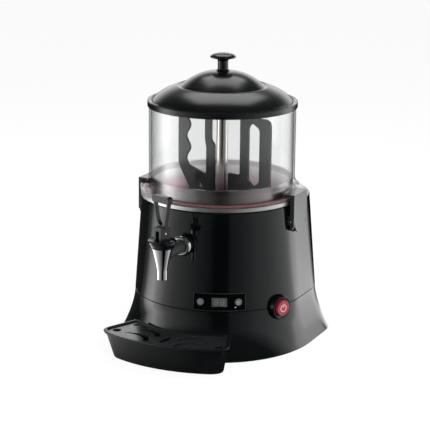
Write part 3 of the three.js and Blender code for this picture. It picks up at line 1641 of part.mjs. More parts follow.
function buildTray() {
  const lipLow = trayRimTop - trayLipHeight;
  const ledge = grateSeat - fitGap;
  const rim = trayWall / 2;
  const tray = loft([
    trayOutline(trayFloorGap, 0),
    trayOutline(lipLow, 0),
    trayOutline(lipLow, -trayLipWidth, 0),
    trayOutline(trayRimTop, -trayLipWidth, 0),
    trayOutline(ledge, rim).map((point) => point.setZ(trayRimTop)),
    trayOutline(ledge, rim),
    trayOutline(ledge, rim + ledgeWidth),
    trayOutline(trayFloorGap + trayWall, trayWall),
  ]);
  const tongues = sides.map(([, side]) => {
    const x = side * tongueX;
    const wall = trayRearReach + trayWall;
    const half = tongueWidth / 2;
    const low = tongueHeight;
    return box(x - half, x + half, -wall, tongueReach - wall, low, low + tongueThickness);
  });
  return join(tray, ...tongues);
}

function crescent(end, outerControl, tip, innerControl, endInner, side) {
  const turned = [end, outerControl, tip, innerControl, endInner].map(([x, y]) => pair(side * x, y));
  const shape = new THREE.Shape();
  shape.moveTo(turned[0].x, turned[0].y);
  shape.quadraticCurveTo(turned[1].x, turned[1].y, turned[2].x, turned[2].y);
  shape.quadraticCurveTo(turned[3].x, turned[3].y, turned[4].x, turned[4].y);
  return shape;
}

// A place on the grate from its shares of the slotted field's half width and depth.
function slotPoint([across, forward]) {
  const y = THREE.MathUtils.lerp(slotFieldRearY, slotFieldFrontY, forward);
  return [across * slotFieldHalfWidth, -y];
}

function buildGrate() {
  const low = grateSeat;
  const top = low + grateThickness;
  const outline = trayOutline(low - fitGap, trayWall / 2 + fitGap);
  const plate = loft([low, top].map((height) => outline.map((point) => point.clone().setZ(height))));
  const through = (shape) => slabAlongZ(shape, low - cutOverrun, top + cutOverrun, domeSteps);
  const leaf = new THREE.Shape();
  leaf.moveTo(0, -leafFrontY);
  leaf.quadraticCurveTo(2 * leafHalfWidth, -(leafFrontY + leafRearY) / 2, 0, -leafRearY);
  leaf.quadraticCurveTo(-2 * leafHalfWidth, -(leafFrontY + leafRearY) / 2, 0, -leafFrontY);
  const slots = sides.flatMap(([, side]) => [
    through(crescent(...rearSlotShares.map(slotPoint), side)),
    through(crescent(...frontSlotShares.map(slotPoint), side)),
    bar(frontHoleRadius, low - cutOverrun, top + cutOverrun).translate(side * frontHoleX, -frontHoleY, 0),
    bar(rearHoleRadius, low - cutOverrun, top + cutOverrun).translate(side * rearHoleX, -rearHoleY, 0),
  ]);
  return cut(plate, through(leaf), ...slots);
}

add("drip_tray", buildTray(), "satinBlack");
add("drip_grate", buildGrate(), "grateGrey");

// Rear: cord gland and terminal block

const glandSeat = basePlan(glandHeight - glandFlangeRadius).rear;

function buildGland() {
  return revolveRing([
    [glandBoreRadius, -bodyWall - glandInside],
    [glandRadius, -bodyWall - glandInside],
    [glandRadius, fitGap],
    [glandFlangeRadius, fitGap],
    [glandFlangeRadius, fitGap + glandFlangeThickness],
    [glandRadius, fitGap + glandFlangeThickness],
    [glandRadius - fitGap, rearReach - glandSeat],
    [glandBoreRadius, rearReach - glandSeat],
  ], smallSegments);
}

const glandPlacement = new THREE.Matrix4().makeRotationX(-Math.PI / 2)
  .setPosition(glandX, glandSeat, glandHeight);
add("cord_gland", buildGland(), "rubber", glandPlacement);
const terminalTop = plateTopHeight + terminalHeight;
const terminalEnd = terminalX + terminalWidth;
const terminalFront = terminalY - terminalDepth;
const terminalBlock = box(terminalX, terminalEnd, terminalFront, terminalY, plateTopHeight, terminalTop);
add("terminal_block", terminalBlock, "nylon");

// The origin lies under the middle of the whole machine, between the tray's lip and the gland.
machine.position.y = (trayFrontReach + trayLipWidth - rearReach) / 2;

export default machine;
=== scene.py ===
import json
import math
import bpy
import bmesh
from mathutils import Matrix, Vector

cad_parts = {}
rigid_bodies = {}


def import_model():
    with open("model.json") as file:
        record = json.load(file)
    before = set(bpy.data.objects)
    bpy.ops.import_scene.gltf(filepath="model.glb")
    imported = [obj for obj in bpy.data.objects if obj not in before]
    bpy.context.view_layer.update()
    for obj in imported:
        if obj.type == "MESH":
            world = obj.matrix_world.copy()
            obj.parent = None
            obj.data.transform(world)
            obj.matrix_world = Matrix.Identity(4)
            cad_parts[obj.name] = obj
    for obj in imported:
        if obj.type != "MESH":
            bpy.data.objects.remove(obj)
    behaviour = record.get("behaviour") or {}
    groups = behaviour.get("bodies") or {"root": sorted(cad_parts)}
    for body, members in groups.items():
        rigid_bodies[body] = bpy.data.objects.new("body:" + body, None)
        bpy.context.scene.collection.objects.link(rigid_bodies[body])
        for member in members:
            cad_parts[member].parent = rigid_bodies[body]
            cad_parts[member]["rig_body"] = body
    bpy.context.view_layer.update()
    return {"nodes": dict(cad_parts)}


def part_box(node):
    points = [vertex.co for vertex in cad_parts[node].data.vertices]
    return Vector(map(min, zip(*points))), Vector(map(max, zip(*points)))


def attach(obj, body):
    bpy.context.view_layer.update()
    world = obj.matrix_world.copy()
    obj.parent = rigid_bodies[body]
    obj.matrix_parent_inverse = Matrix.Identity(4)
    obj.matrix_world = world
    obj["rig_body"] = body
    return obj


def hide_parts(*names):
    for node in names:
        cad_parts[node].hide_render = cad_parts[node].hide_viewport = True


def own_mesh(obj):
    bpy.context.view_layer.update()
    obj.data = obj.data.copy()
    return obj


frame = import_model()
scene = bpy.context.scene
nodes = frame["nodes"]

# Lengths below are in millimetres from the container's axis and the counter top, unless they are marked as
# metres. Bearings are in degrees from straight ahead, positive towards the machine's +X side.
SHIFT_Y = 36.0
BODY = "machine_body"
SKIRT_BOTTOM, BASE_TOP, SEAM, DECK = 1.5, 74.6, 75.0, 231.0
SHELL, REAR_CORNER = 3.0, 105.0
FLANGE_TOP = 244.2
FRONT_STEPS, CORNER_STEPS = 192, 28
TAP_Y, SHANK_Z, SHANK_HOLE, SHANK_END = -209.0, 178.5, 9.7, -104.0
HANDLE_TURN = -20.0
SWITCH_ANGLE, SWITCH_Z = 66.0, 74.0
PANEL_ANGLE, PANEL_Z, BUTTON_ANGLE = 24.4, 90.4, 12.2
PANEL_PROUD = 1.6
GLAND_X, GLAND_Z = 40.0, 40.0
TRAY_FOOT, TRAY_TOP, TRAY_HOOK_X = 1, 45.0, 36.0


# Geometry helpers

def link(name, data):
    obj = bpy.data.objects.new(name, data)
    scene.collection.objects.link(obj)
    return obj


def build(name, parts, matrix=None):
    """A mesh object from (points, faces) in millimetres, with its faces turned outwards."""
    points, faces = parts
    turn = matrix or Matrix.Identity(4)
    placed = [turn @ Vector(p) for p in points]
    mesh = bpy.data.meshes.new(name)
    mesh.from_pydata([(p.x / 1000, (p.y + SHIFT_Y) / 1000, p.z / 1000) for p in placed], [], faces)
    bm = bmesh.new()
    bm.from_mesh(mesh)
    bmesh.ops.remove_doubles(bm, verts=bm.verts, dist=1e-6)
    bmesh.ops.recalc_face_normals(bm, faces=bm.faces)
    bm.to_mesh(mesh)
    bm.free()
    return link(name, mesh)


def bake(obj):
    """Applies the modifiers of an object to its mesh."""
    graph = bpy.context.evaluated_depsgraph_get()
    mesh = bpy.data.meshes.new_from_object(obj.evaluated_get(graph))
    obj.modifiers.clear()
    obj.data = mesh
    return obj


def combine(obj, others, operation="DIFFERENCE"):
    for i, other in enumerate(others):
        step = obj.modifiers.new("step%d" % i, "BOOLEAN")
        step.operation = operation
        step.solver = "EXACT"
        step.object = other
    bake(obj)
    for other in others:
        bpy.data.objects.remove(other)


def shade(obj, angle=38):
    obj.data.shade_smooth()
    obj.data.set_sharp_from_angle(angle=math.radians(angle))
    return obj


def bevel(obj, width, segments=3, angle=32):
    obj.data.shade_smooth()
    step = obj.modifiers.new("edges", "BEVEL")
    step.width = width / 1000
    step.segments = segments
    step.limit_method = "ANGLE"
    step.angle_limit = math.radians(angle)
    step.harden_normals = True
    step.use_clamp_overlap = True
    return bake(obj)


def cut(parts, matrix=None):
    """A solid for combine() to take away or add."""
    return build("cut", parts, matrix)


def piece(obj, body, material, slot, *stands_for):
    """Gives an object its material, its body, and the CAD nodes that it stands for."""
    obj.data.materials.clear()
    obj.data.materials.append(material)
    for polygon in obj.data.polygons:
        polygon.material_index = 0
    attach(obj, body)
    if stands_for:
        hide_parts(*stands_for)
    return obj


def spun(name, profile, segments, body, material, slot, *stands_for, place=None, closed=True, angle=38):
    """A piece turned about Z from a profile."""
    solid = build(name, lathe(profile, segments, closed), place)
    return piece(shade(solid, angle), body, material, slot, *stands_for)


def softened(node, name, width, material, slot, segments=3):
    """A copy of a CAD node with its edges rounded, which stands for that node."""
    source = nodes[node]
    bm = bmesh.new()
    bm.from_mesh(source.data)
    bmesh.ops.remove_doubles(bm, verts=bm.verts, dist=1e-6)
    bmesh.ops.dissolve_limit(bm, angle_limit=math.radians(1), verts=bm.verts, edges=bm.edges)
    mesh = bpy.data.meshes.new(name)
    bm.to_mesh(mesh)
    bm.free()
    obj = bevel(link(name, mesh), width, segments)
    return piece(obj, source["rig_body"], material, slot, node)


def rounded(points, steps=4, closed=True):
    """A profile of (x, y) or (x, y, radius) corners with each stated radius rounded."""
    result = []
    count = len(points)
    for i, point in enumerate(points):
        here = Vector(point[:2])
        radius = point[2] if len(point) > 2 else 0
        if not radius or (not closed and i in (0, count - 1)):
            result.append((here.x, here.y))
            continue
        before = Vector(points[i - 1][:2]) - here
        after = Vector(points[(i + 1) % count][:2]) - here
        reach = min(radius, before.length * 0.48, after.length * 0.48)
        start = here + before.normalized() * reach
        end = here + after.normalized() * reach
        for k in range(steps + 1):
            t = k / steps
            p = start * (1 - t) ** 2 + here * 2 * t * (1 - t) + end * t ** 2
            result.append((p.x, p.y))
    return result


def rounded_box(x0, x1, y0, y1, radius):
    return rounded([(x0, y0, radius), (x1, y0, radius), (x1, y1, radius), (x0, y1, radius)])


def bend(start, control, end, steps=14):
    """A quadratic curve from start to end that leans towards control."""
    pts = []
    for k in range(steps + 1):
        t = k / steps
        shares = ((1 - t) ** 2, 2 * t * (1 - t), t ** 2)
        pts.append(tuple(sum(s * v for s, v in zip(shares, values)) for values in zip(start, control, end)))
    return pts


def two_bends(a, b, c, d, e, steps=16):
    """Two curves in a row, from a to c and from c to e."""
    return bend(a, b, c, steps) + bend(c, d, e, steps)[1:]


def offset_line(points, distance):
    """An open line of (x, y) points moved sideways by a distance."""
    result = []
    for i, point in enumerate(points):
        before = points[max(i - 1, 0)]
        after = points[min(i + 1, len(points) - 1)]
        length = math.hypot(after[0] - before[0], after[1] - before[1])
        result.append((point[0] - (after[1] - before[1]) / length * distance,
                       point[1] + (after[0] - before[0]) / length * distance))
    return result


def lathe(profile, segments, closed=True):
    """Points and faces of a profile of (radius, height) turned about Z."""
    points, faces, rows = [], [], []
    for radius, height in profile:
        if radius < 1e-4:
            rows.append([len(points)] * segments)
            points.append((0, 0, height))
            continue
        rows.append(list(range(len(points), len(points) + segments)))
        for k in range(segments):
            turn = 2 * math.pi * k / segments
            points.append((radius * math.cos(turn), radius * math.sin(turn), height))
    spans = len(rows) if closed else len(rows) - 1
    for i in range(spans):
        a, b = rows[i], rows[(i + 1) % len(rows)]
        for k in range(segments):
            n = (k + 1) % segments
            face = list(dict.fromkeys([a[k], a[n], b[n], b[k]]))
            if len(face) > 2:
                faces.append(face)
    return points, faces


def loft(sections, ring=False):
    count = len(sections[0])
    points = [p for section in sections for p in section]
    faces = []
    spans = len(sections) if ring else len(sections) - 1
    for s in range(spans):
        here, after = s * count, ((s + 1) % len(sections)) * count
        for i in range(count):
            j = (i + 1) % count
            faces.append((here + i, here + j, after + j, after + i))
    if not ring:
        faces.append(tuple(reversed(range(count))))
        faces.append(tuple(range(len(points) - count, len(points))))
    return points, faces


def slab(outline, low, high):
    """An outline of (u, v) points between two distances w, as points (u, v, w)."""
    return loft([[(u, v, w) for u, v in outline] for w in (low, high)])


def box(x0, x1, y0, y1, z0, z1):
    return slab([(x0, y0), (x1, y0), (x1, y1), (x0, y1)], z0, z1)


def rod(radius, low, high, segments=48):
    outline = [(radius * math.cos(2 * math.pi * k / segments), radius * math.sin(2 * math.pi * k / segments))
               for k in range(segments)]
    return slab(outline, low, high)


# Places: U, V and W of an outline go to these axes.
FACING_FRONT = Matrix(((1, 0, 0, 0), (0, 0, 1, 0), (0, 1, 0, 0), (0, 0, 0, 1)))
FACING_SIDE = Matrix(((0, 0, 1, 0), (1, 0, 0, 0), (0, 1, 0, 0), (0, 0, 0, 1)))


def outward(angle, distance, height):
    """Local X to the right, Y up and Z straight out at a bearing on the body."""
    a = math.radians(angle)
    out = (math.sin(a), -math.cos(a))
    return Matrix(((math.cos(a), 0, out[0], out[0] * distance),
                   (math.sin(a), 0, out[1], out[1] * distance),
                   (0, 1, 0, height),
                   (0, 0, 0, 1)))


# Body outlines

def body_outline(plan, z):
    """The D of the body at a height: a superellipse in front, and a rear with two round corners."""
    half, front, rear, corner, power = plan
    pts = []
    straight = rear - corner
    for i in range(FRONT_STEPS + 1):
        turn = math.pi * (1 + i / FRONT_STEPS)
        c, s = math.cos(turn), math.sin(turn)
        x = math.copysign(abs(c) ** (2 / power), c)
        y = -(abs(s) ** (2 / power))
        pts.append((half * x, front * y, z))
    pts[0] = (-half, 0.0, z)
    pts[FRONT_STEPS] = (half, 0.0, z)
    pts.append((half, straight / 2, z))
    for i in range(CORNER_STEPS + 1):
        turn = math.pi / 2 * i / CORNER_STEPS
        pts.append((half - corner + corner * math.cos(turn), straight + corner * math.sin(turn), z))
    pts.append((0.0, rear, z))
    for i in range(CORNER_STEPS, -1, -1):
        turn = math.pi / 2 * i / CORNER_STEPS
        pts.append((corner - half - corner * math.cos(turn), straight + corner * math.sin(turn), z))
    pts.append((-half, straight / 2, z))
    return pts


def mix(a, b, t):
    return a + (b - a) * t


def upper_plan(z, inset=0.0):
    t = (DECK - z) / (DECK - SEAM)
    half = mix(128.8, 139.5, t) - inset
    return half, half, mix(144.0, 151.6, t) - inset, REAR_CORNER - inset, 2.0


def base_plan(z, inset=0.0):
    t = max((BASE_TOP - z) / (BASE_TOP - SKIRT_BOTTOM), 0.0) ** 1.7
    return (mix(139.5, 160.0, t) - inset, mix(139.5, 171.0, t) - inset, mix(151.6, 155.0, t) - inset,
            REAR_CORNER - 16.0 * t - inset, mix(2.0, 2.05, t))


def upper_ring(z, inset=0.0):
    return body_outline(upper_plan(z, inset), z)


def base_ring(z, inset=0.0):
    return body_outline(base_plan(z, inset), z)


def wall(z):
    """The front wall's distance from the axis at a height."""
    return upper_plan(z)[0]


def circle_like(outline, radius, z):
    """A circle with its points at the same bearings as those of an outline."""
    bearings = [math.atan2(y, x) for x, y, _ in outline]
    return [(radius * math.cos(a), radius * math.sin(a), z) for a in bearings]


def band(angle0, angle1, z0, z1, back, face, steps=48):
    """A curved plate on the front wall, between two distances from it."""
    rings = []
    for z in (z0, z1):
        ring = []
        for reach, order in ((face, range(steps + 1)), (back, range(steps, -1, -1))):
            for i in order:
                a = math.radians(mix(angle0, angle1, i / steps))
                ring.append(((wall(z) + reach) * math.sin(a), -(wall(z) + reach) * math.cos(a), z))
        rings.append(ring)
    return loft(rings)


def shank_hole():
    place = FACING_FRONT @ Matrix.Translation((0, SHANK_Z, 0))
    return cut(rod(SHANK_HOLE, TAP_Y, SHANK_END), place)


def switch_hole():
    return cut(rod(20.3, -22, 22, 96), outward(SWITCH_ANGLE, wall(SWITCH_Z), SWITCH_Z))


# Materials

# Sockets of a Mix node for colours
MIX_FACTOR, MIX_FIRST, MIX_SECOND, MIX_RESULT = 0, 6, 7, 2


class Nodes:
    """Short calls for the node tree of a material or the world."""

    def __init__(self, tree):
        self.tree = tree

    def add(self, kind, **values):
        node = self.tree.nodes.new(kind)
        for key, value in values.items():
            if hasattr(node, key):
                setattr(node, key, value)
            else:
                node.inputs[key.replace("_", " ")].default_value = value
        return node

    def join(self, start, end):
        self.tree.links.new(start, end)

    def named(self, name):
        return self.tree.nodes[name]


def new_material(name):
    material = bpy.data.materials.new(name)
    material.use_nodes = True
    return material, Nodes(material.node_tree)


def maths(tree, operation, first, second):
    """A value from two others, of which the second can be a plain number."""
    node = tree.add("ShaderNodeMath", operation=operation)
    tree.join(first, node.inputs[0])
    if isinstance(second, (int, float)):
        node.inputs[1].default_value = second
    else:
        tree.join(second, node.inputs[1])
    return node.outputs[0]


def blend_shaders(tree, factor, first, second):
    blend = tree.add("ShaderNodeMixShader")
    tree.join(factor, blend.inputs[0])
    tree.join(first, blend.inputs[1])
    tree.join(second, blend.inputs[2])
    return blend.outputs[0]


def colour_run(tree, factor, marks):
    """A run of colours from (share, colour) marks."""
    run = tree.add("ShaderNodeValToRGB")
    tree.join(factor, run.inputs[0])
    stops = run.color_ramp.elements
    while len(stops) < len(marks):
        stops.new(0.5)
    for stop, (share, colour) in zip(stops, marks):
        stop.position = share
        stop.color = (*colour, 1)
    return run.outputs["Color"]


def grain(tree, coords, scale, detail=2.0, roughness=0.5, stretch=None):
    vector = coords
    if stretch:
        mapping = tree.add("ShaderNodeMapping")
        mapping.inputs["Scale"].default_value = stretch
        tree.join(coords, mapping.inputs["Vector"])
        vector = mapping.outputs["Vector"]
    noise = tree.add("ShaderNodeTexNoise", Scale=scale, Detail=detail, Roughness=roughness)
    tree.join(vector, noise.inputs["Vector"])
    return noise.outputs["Fac"]


def spread(tree, value, low, high, start=0.3, end=0.7):
    """A value that runs from low to high while another runs from start to end."""
    ramp = tree.add("ShaderNodeMapRange", From_Min=start, From_Max=end, To_Min=low, To_Max=high)
    tree.join(value, ramp.inputs["Value"])
    return ramp.outputs["Result"]


def tint(tree, factor, dark, light):
    """A colour between two others, by a factor."""
    blend = tree.add("ShaderNodeMix", data_type="RGBA")
    blend.inputs[MIX_FIRST].default_value = (*dark, 1)
    blend.inputs[MIX_SECOND].default_value = (*light, 1)
    tree.join(factor, blend.inputs[MIX_FACTOR])
    return blend.outputs[MIX_RESULT]


def bump(tree, height, distance):
    node = tree.add("ShaderNodeBump", Strength=1.0, Distance=distance)
    tree.join(height, node.inputs["Height"])
    return node.outputs["Normal"]


def surface(name, dark, light, rough, metal=0.0, specular=0.5, patch=18, fine=900, lines=None, relief=4e-5,
            aniso=0.0):
    """A material with uneven colour, uneven gloss and a fine relief, all from noise in object space."""
    material, tree = new_material(name)
    shader = tree.named("Principled BSDF")
    coords = tree.add("ShaderNodeTexCoord").outputs["Object"]
    broad = grain(tree, coords, patch, 3.0)
    small = grain(tree, coords, fine, 2.0, 0.6, lines)
    tree.join(tint(tree, spread(tree, broad, 0, 1), dark, light), shader.inputs["Base Color"])
    both = maths(tree, "ADD", broad, small)
    tree.join(spread(tree, both, rough[0], rough[1], 0.7, 1.3), shader.inputs["Roughness"])
    tree.join(bump(tree, small, relief), shader.inputs["Normal"])
    for entry, value in (("Metallic", metal), ("Specular IOR Level", specular), ("Anisotropic", aniso)):
        shader.inputs[entry].default_value = value
    return material


gloss_black = surface("moulded_gloss_black", (0.0006, 0.0010, 0.0012), (0.0012, 0.0018, 0.0021), (0.05, 0.10),
                      patch=9, fine=260, relief=6e-6)
satin_black = surface("moulded_satin_black", (0.0010, 0.0014, 0.0016), (0.0018, 0.0023, 0.0026), (0.22, 0.28),
                      patch=14, fine=1500, relief=1.4e-5)
clip_black = surface("clip_satin_black", (0.0022, 0.0028, 0.0030), (0.0036, 0.0044, 0.0048), (0.16, 0.24),
                     patch=22, fine=1400, relief=1.2e-5)
handle_black = surface("handle_black", (0.0014, 0.0018, 0.0020), (0.0024, 0.0029, 0.0032), (0.12, 0.18),
                       specular=0.4, patch=30, fine=1300, relief=1.0e-5)
panel_film = surface("panel_film_black", (0.0003, 0.0004, 0.0004), (0.0006, 0.0008, 0.0008), (0.10, 0.16),
                     specular=0.06, patch=40, relief=6e-6)
tray_black = surface("tray_textured_black", (0.0020, 0.0026, 0.0028), (0.0034, 0.0042, 0.0046), (0.28, 0.38),
                     specular=0.45, patch=16, fine=1800, relief=3.5e-5)
grate_grey = surface("grate_textured_grey", (0.0085, 0.0092, 0.0098), (0.0130, 0.0140, 0.0148), (0.14, 0.22),
                     specular=1.0, patch=16, fine=1700, relief=4e-5)
matt_black = surface("matt_black", (0.010, 0.011, 0.012), (0.016, 0.017, 0.018), (0.5, 0.65),
                     specular=0.4, patch=30, fine=1500, relief=3e-5)
paddle_black = surface("paddle_black", (0.0028, 0.0036, 0.0040), (0.0046, 0.0058, 0.0064), (0.26, 0.36),
                       patch=24, fine=1500, relief=2e-5)
BRUSHED = {"patch": 8, "fine": 60, "lines": (1, 1, 40)}
steel_band = surface("steel_brushed_round", (0.55, 0.545, 0.53), (0.66, 0.655, 0.64), (0.30, 0.42), metal=1.0,
                     relief=8e-6, aniso=0.5, **BRUSHED)
# The inside of the pan is near-white and not metallic: a painted reflection of the pale studio that its steel
# would mirror.
pan_inside_painted_light = surface("steel_inside_painted_light", (0.86, 0.85, 0.85), (0.93, 0.92, 0.92), (0.38, 0.50), relief=8e-6,
                     **BRUSHED)
# The lip is a darker copy of the pan's steel: painted shade that dims its reflections.
pan_lip = surface("steel_lip_painted_shade", (0.30, 0.28, 0.285), (0.39, 0.365, 0.37), (0.26, 0.36), metal=1.0,
                  relief=6e-6, **BRUSHED)
steel_sheet = surface("steel_sheet", (0.46, 0.46, 0.45), (0.60, 0.60, 0.59), (0.26, 0.42), metal=1.0,
                      patch=14, fine=90, lines=(24, 1, 1), relief=8e-6)
steel_post = surface("steel_ground_post", (0.62, 0.60, 0.57), (0.74, 0.72, 0.69), (0.14, 0.24), metal=1.0,
                     patch=20, fine=90, lines=(1, 1, 30), relief=5e-6)
chrome = surface("chrome_plate", (0.74, 0.74, 0.75), (0.80, 0.80, 0.81), (0.025, 0.06), metal=1.0,
                 patch=26, fine=500, relief=2e-6)
silicone = surface("silicone_red", (0.20, 0.075, 0.085), (0.28, 0.11, 0.125), (0.42, 0.56), specular=0.4,
                   patch=30, fine=1100, relief=2e-5)
rubber = surface("rubber_black", (0.010, 0.010, 0.010), (0.018, 0.018, 0.018), (0.62, 0.8), specular=0.35,
                 patch=40, fine=1200, relief=5e-5)
red_cap = surface("red_button", (0.10, 0.007, 0.011), (0.17, 0.020, 0.027), (0.16, 0.26), patch=60,
                  relief=6e-6)
pink_mark = surface("pale_mark", (0.42, 0.24, 0.26), (0.50, 0.31, 0.33), (0.3, 0.4), patch=80)
grey_mark = surface("grey_mark", (0.16, 0.175, 0.18), (0.22, 0.235, 0.24), (0.35, 0.5), patch=80)
button_face = surface("button_face", (0.042, 0.050, 0.053), (0.060, 0.070, 0.074), (0.3, 0.42), patch=120,
                      fine=1500, relief=1e-5)
glass_display = surface("display_face", (0.030, 0.036, 0.034), (0.040, 0.047, 0.044), (0.05, 0.1), patch=70,
                        fine=400, relief=2e-6)
digit_grey = surface("display_digits", (0.075, 0.084, 0.080), (0.095, 0.106, 0.101), (0.25, 0.35), patch=90)
circuit = surface("circuit_green", (0.010, 0.070, 0.030), (0.020, 0.11, 0.05), (0.3, 0.5), patch=160)
motor_grey = surface("motor_paint", (0.13, 0.14, 0.15), (0.18, 0.19, 0.20), (0.35, 0.5), metal=0.4, patch=40,
                     fine=800, relief=3e-5)
nylon = surface("nylon_natural", (0.58, 0.56, 0.48), (0.68, 0.66, 0.58), (0.4, 0.55), patch=60)


def clear_plastic(name, open_dark, open_light, edge, sheen):
    """Clear plastic that tints light near its outline and mirrors more at flat angles."""
    material, tree = new_material(name)
    coords = tree.add("ShaderNodeTexCoord").outputs["Object"]
    broad = grain(tree, coords, 10, 3.0)
    side_on = tree.add("ShaderNodeLayerWeight", Blend=0.5).outputs["Facing"]
    body = tint(tree, spread(tree, broad, 0, 1), open_dark, open_light)
    colour = tree.add("ShaderNodeMix", data_type="RGBA")
    tree.join(spread(tree, side_on, 0, 1, 0.45, 1.0), colour.inputs[MIX_FACTOR])
    tree.join(body, colour.inputs[MIX_FIRST])
    colour.inputs[MIX_SECOND].default_value = (*edge, 1)
    through = tree.add("ShaderNodeBsdfTransparent")
    tree.join(colour.outputs[MIX_RESULT], through.inputs["Color"])
    gloss = tree.add("ShaderNodeBsdfGlossy")
    tree.join(spread(tree, broad, 0.03, 0.07), gloss.inputs["Roughness"])
    tree.join(bump(tree, grain(tree, coords, 120), 3e-6), gloss.inputs["Normal"])
    mirror_share = spread(tree, maths(tree, "POWER", side_on, 5.0), sheen, 0.7, 0, 1)
    both = blend_shaders(tree, mirror_share, through.outputs[0], gloss.outputs[0])
    tree.join(both, tree.named("Material Output").inputs["Surface"])
    return material


def by_height(material, stops):
    """Multiplies a material's colour by a run of colours at heights in metres."""
    low, high = stops[0][0], stops[-1][0]
    tree = Nodes(material.node_tree)
    shader = tree.named("Principled BSDF")
    axes = tree.add("ShaderNodeSeparateXYZ")
    tree.join(tree.add("ShaderNodeTexCoord").outputs["Object"], axes.inputs[0])
    marks = [((height - low) / (high - low), colour) for height, colour in stops]
    run = colour_run(tree, spread(tree, axes.outputs["Z"], 0, 1, low, high), marks)
    both = tree.add("ShaderNodeMix", data_type="RGBA", blend_type="MULTIPLY")
    both.inputs[MIX_FACTOR].default_value = 1.0
    tree.join(shader.inputs["Base Color"].links[0].from_socket, both.inputs[MIX_FIRST])
    tree.join(run, both.inputs[MIX_SECOND])
    tree.join(both.outputs[MIX_RESULT], shader.inputs["Base Color"])


clear = clear_plastic("clear_polycarbonate", (0.955, 0.957, 0.957), (0.972, 0.974, 0.974),
                      (0.80, 0.81, 0.82), 0.035)
clear_seal = clear_plastic("clear_silicone", (0.95, 0.945, 0.945), (0.98, 0.975, 0.975),
                           (0.80, 0.79, 0.79), 0.03)
# Painted shade and a painted reflection: the inside of the pan darkens towards its bottom, and turns pink low
# down as a reflection of the red seal.
by_height(pan_inside_painted_light, (
    (0.200, (0.20, 0.14, 0.16)), (0.214, (0.30, 0.19, 0.22)), (0.224, (0.62, 0.42, 0.48)),
    (0.236, (0.66, 0.60, 0.62)), (0.242, (0.80, 0.78, 0.78)), (0.250, (1, 1, 1)), (0.262, (1, 1, 1))))

# CAD nodes that are kept as they are get their materials

for names, material in (
    (("bottom_plate", "water_tank", "centre_column", "lid_knob_screw", "drive_shaft", "motor_bracket",
      "heating_element", "temperature_probe", "shank_lock_nut"), steel_sheet),
    (("tap_stem", "tap_handle_pin", "clip_pin_left", "clip_pin_right"), steel_post),
    (("thermal_cutout", "display_module", "switch_body", "tap_shank"), matt_black),
    (("control_board",), circuit),
    (("motor", "gearbox"), motor_grey),
    (("terminal_block",), nylon),
    (("tap_seat_cup",), silicone),
):
    for name in names:
        nodes[name].data.materials.clear()
        nodes[name].data.materials.append(material)
        shade(nodes[name])

# Body shells


def make_upper():
    edge_round, round_steps, hole = SHELL, 6, 120.5
    z_edge = DECK - edge_round
    sections = [upper_ring(SEAM, 0.5), upper_ring(SEAM + 0.5)]
    sections += [upper_ring(mix(SEAM + 1, z_edge, k / 8)) for k in range(9)]
    for k in range(1, round_steps + 1):
        turn = math.pi / 2 * k / round_steps
        inset, z = edge_round * (1 - math.cos(turn)), z_edge + edge_round * math.sin(turn)
        sections.append(body_outline(upper_plan(DECK, inset), z))
    edge = sections[-1]
    sections += [circle_like(edge, hole + 0.7, DECK), circle_like(edge, hole, DECK - 0.7),
                 circle_like(edge, hole, DECK - SHELL), upper_ring(DECK - SHELL, SHELL),
                 upper_ring(SEAM, SHELL)]
    shell = build("housing_upper", loft(sections, ring=True))
    panel_hole = cut(band(PANEL_ANGLE - 15, PANEL_ANGLE + 15, 80.4, 100.4, -7.0, 4.0, 10))
    cuts = [switch_hole(), panel_hole, shank_hole()]
    for side in (-1, 1):
        cuts.append(cut(box(*sorted((side * 118, side * 138.6)), -26.6, 26.6, 190.4, 214)))
    vent_half, vent_height, vent_pitch = 28, 4, 10
    for i in range(6):
        low = 130 + vent_pitch * i
        outline = rounded_box(-vent_half, vent_half, low, low + vent_height, 2)
        cuts.append(cut(slab(outline, 123, 160), FACING_FRONT))
    combine(shell, cuts)
    piece(shade(shell, 30), BODY, gloss_black, "gloss_black", "upper_housing")


def make_base():
    outer_levels, inner_levels, bottom_edge, top_lip = 40, 13, 0.6, 12
    sections = [base_ring(SKIRT_BOTTOM, bottom_edge), base_ring(SKIRT_BOTTOM + bottom_edge)]
    for k in range(1, outer_levels + 1):
        sections.append(base_ring(mix(SKIRT_BOTTOM, BASE_TOP - 0.5, k / outer_levels)))
    sections += [base_ring(BASE_TOP, 0.5), base_ring(BASE_TOP, top_lip),
                 body_outline(base_plan(BASE_TOP, top_lip), BASE_TOP - SHELL)]
    for k in range(inner_levels, -1, -1):
        sections.append(base_ring(mix(SKIRT_BOTTOM, BASE_TOP - SHELL, k / inner_levels), SHELL))
    shell = build("housing_base", loft(sections, ring=True))
    cuts = [switch_hole(), cut(rod(9.3, 139, 166), FACING_FRONT @ Matrix.Translation((GLAND_X, GLAND_Z, 0)))]
    cuts += [cut(box(x - 8.3, x + 8.3, -171, -127.5, 32.7, 36.3)) for x in (-TRAY_HOOK_X, TRAY_HOOK_X)]
    combine(shell, cuts)
    piece(shade(shell, 30), BODY, gloss_black, "gloss_black", "base_housing")


make_upper()
make_base()

# Feet

foot_profile = rounded([(0, 0.8), (6, 0.8, 1), (7, 0, 1), (11, 0, 1.2), (9, 3.7, 0.8), (3, 3.7),
                        (3, 8.7, 0.8), (0, 8.7)], closed=False)
for i in range(1, 5):
    low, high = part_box("foot_%d" % i)
    middle = (low + high) / 2 * 1000
    spun("foot_pad_%d" % i, foot_profile, 48, BODY, rubber, "rubber", "foot_%d" % i,
         place=Matrix.Translation((middle.x, middle.y - SHIFT_Y, 0)), closed=False)

# Pan, seals, column parts and container

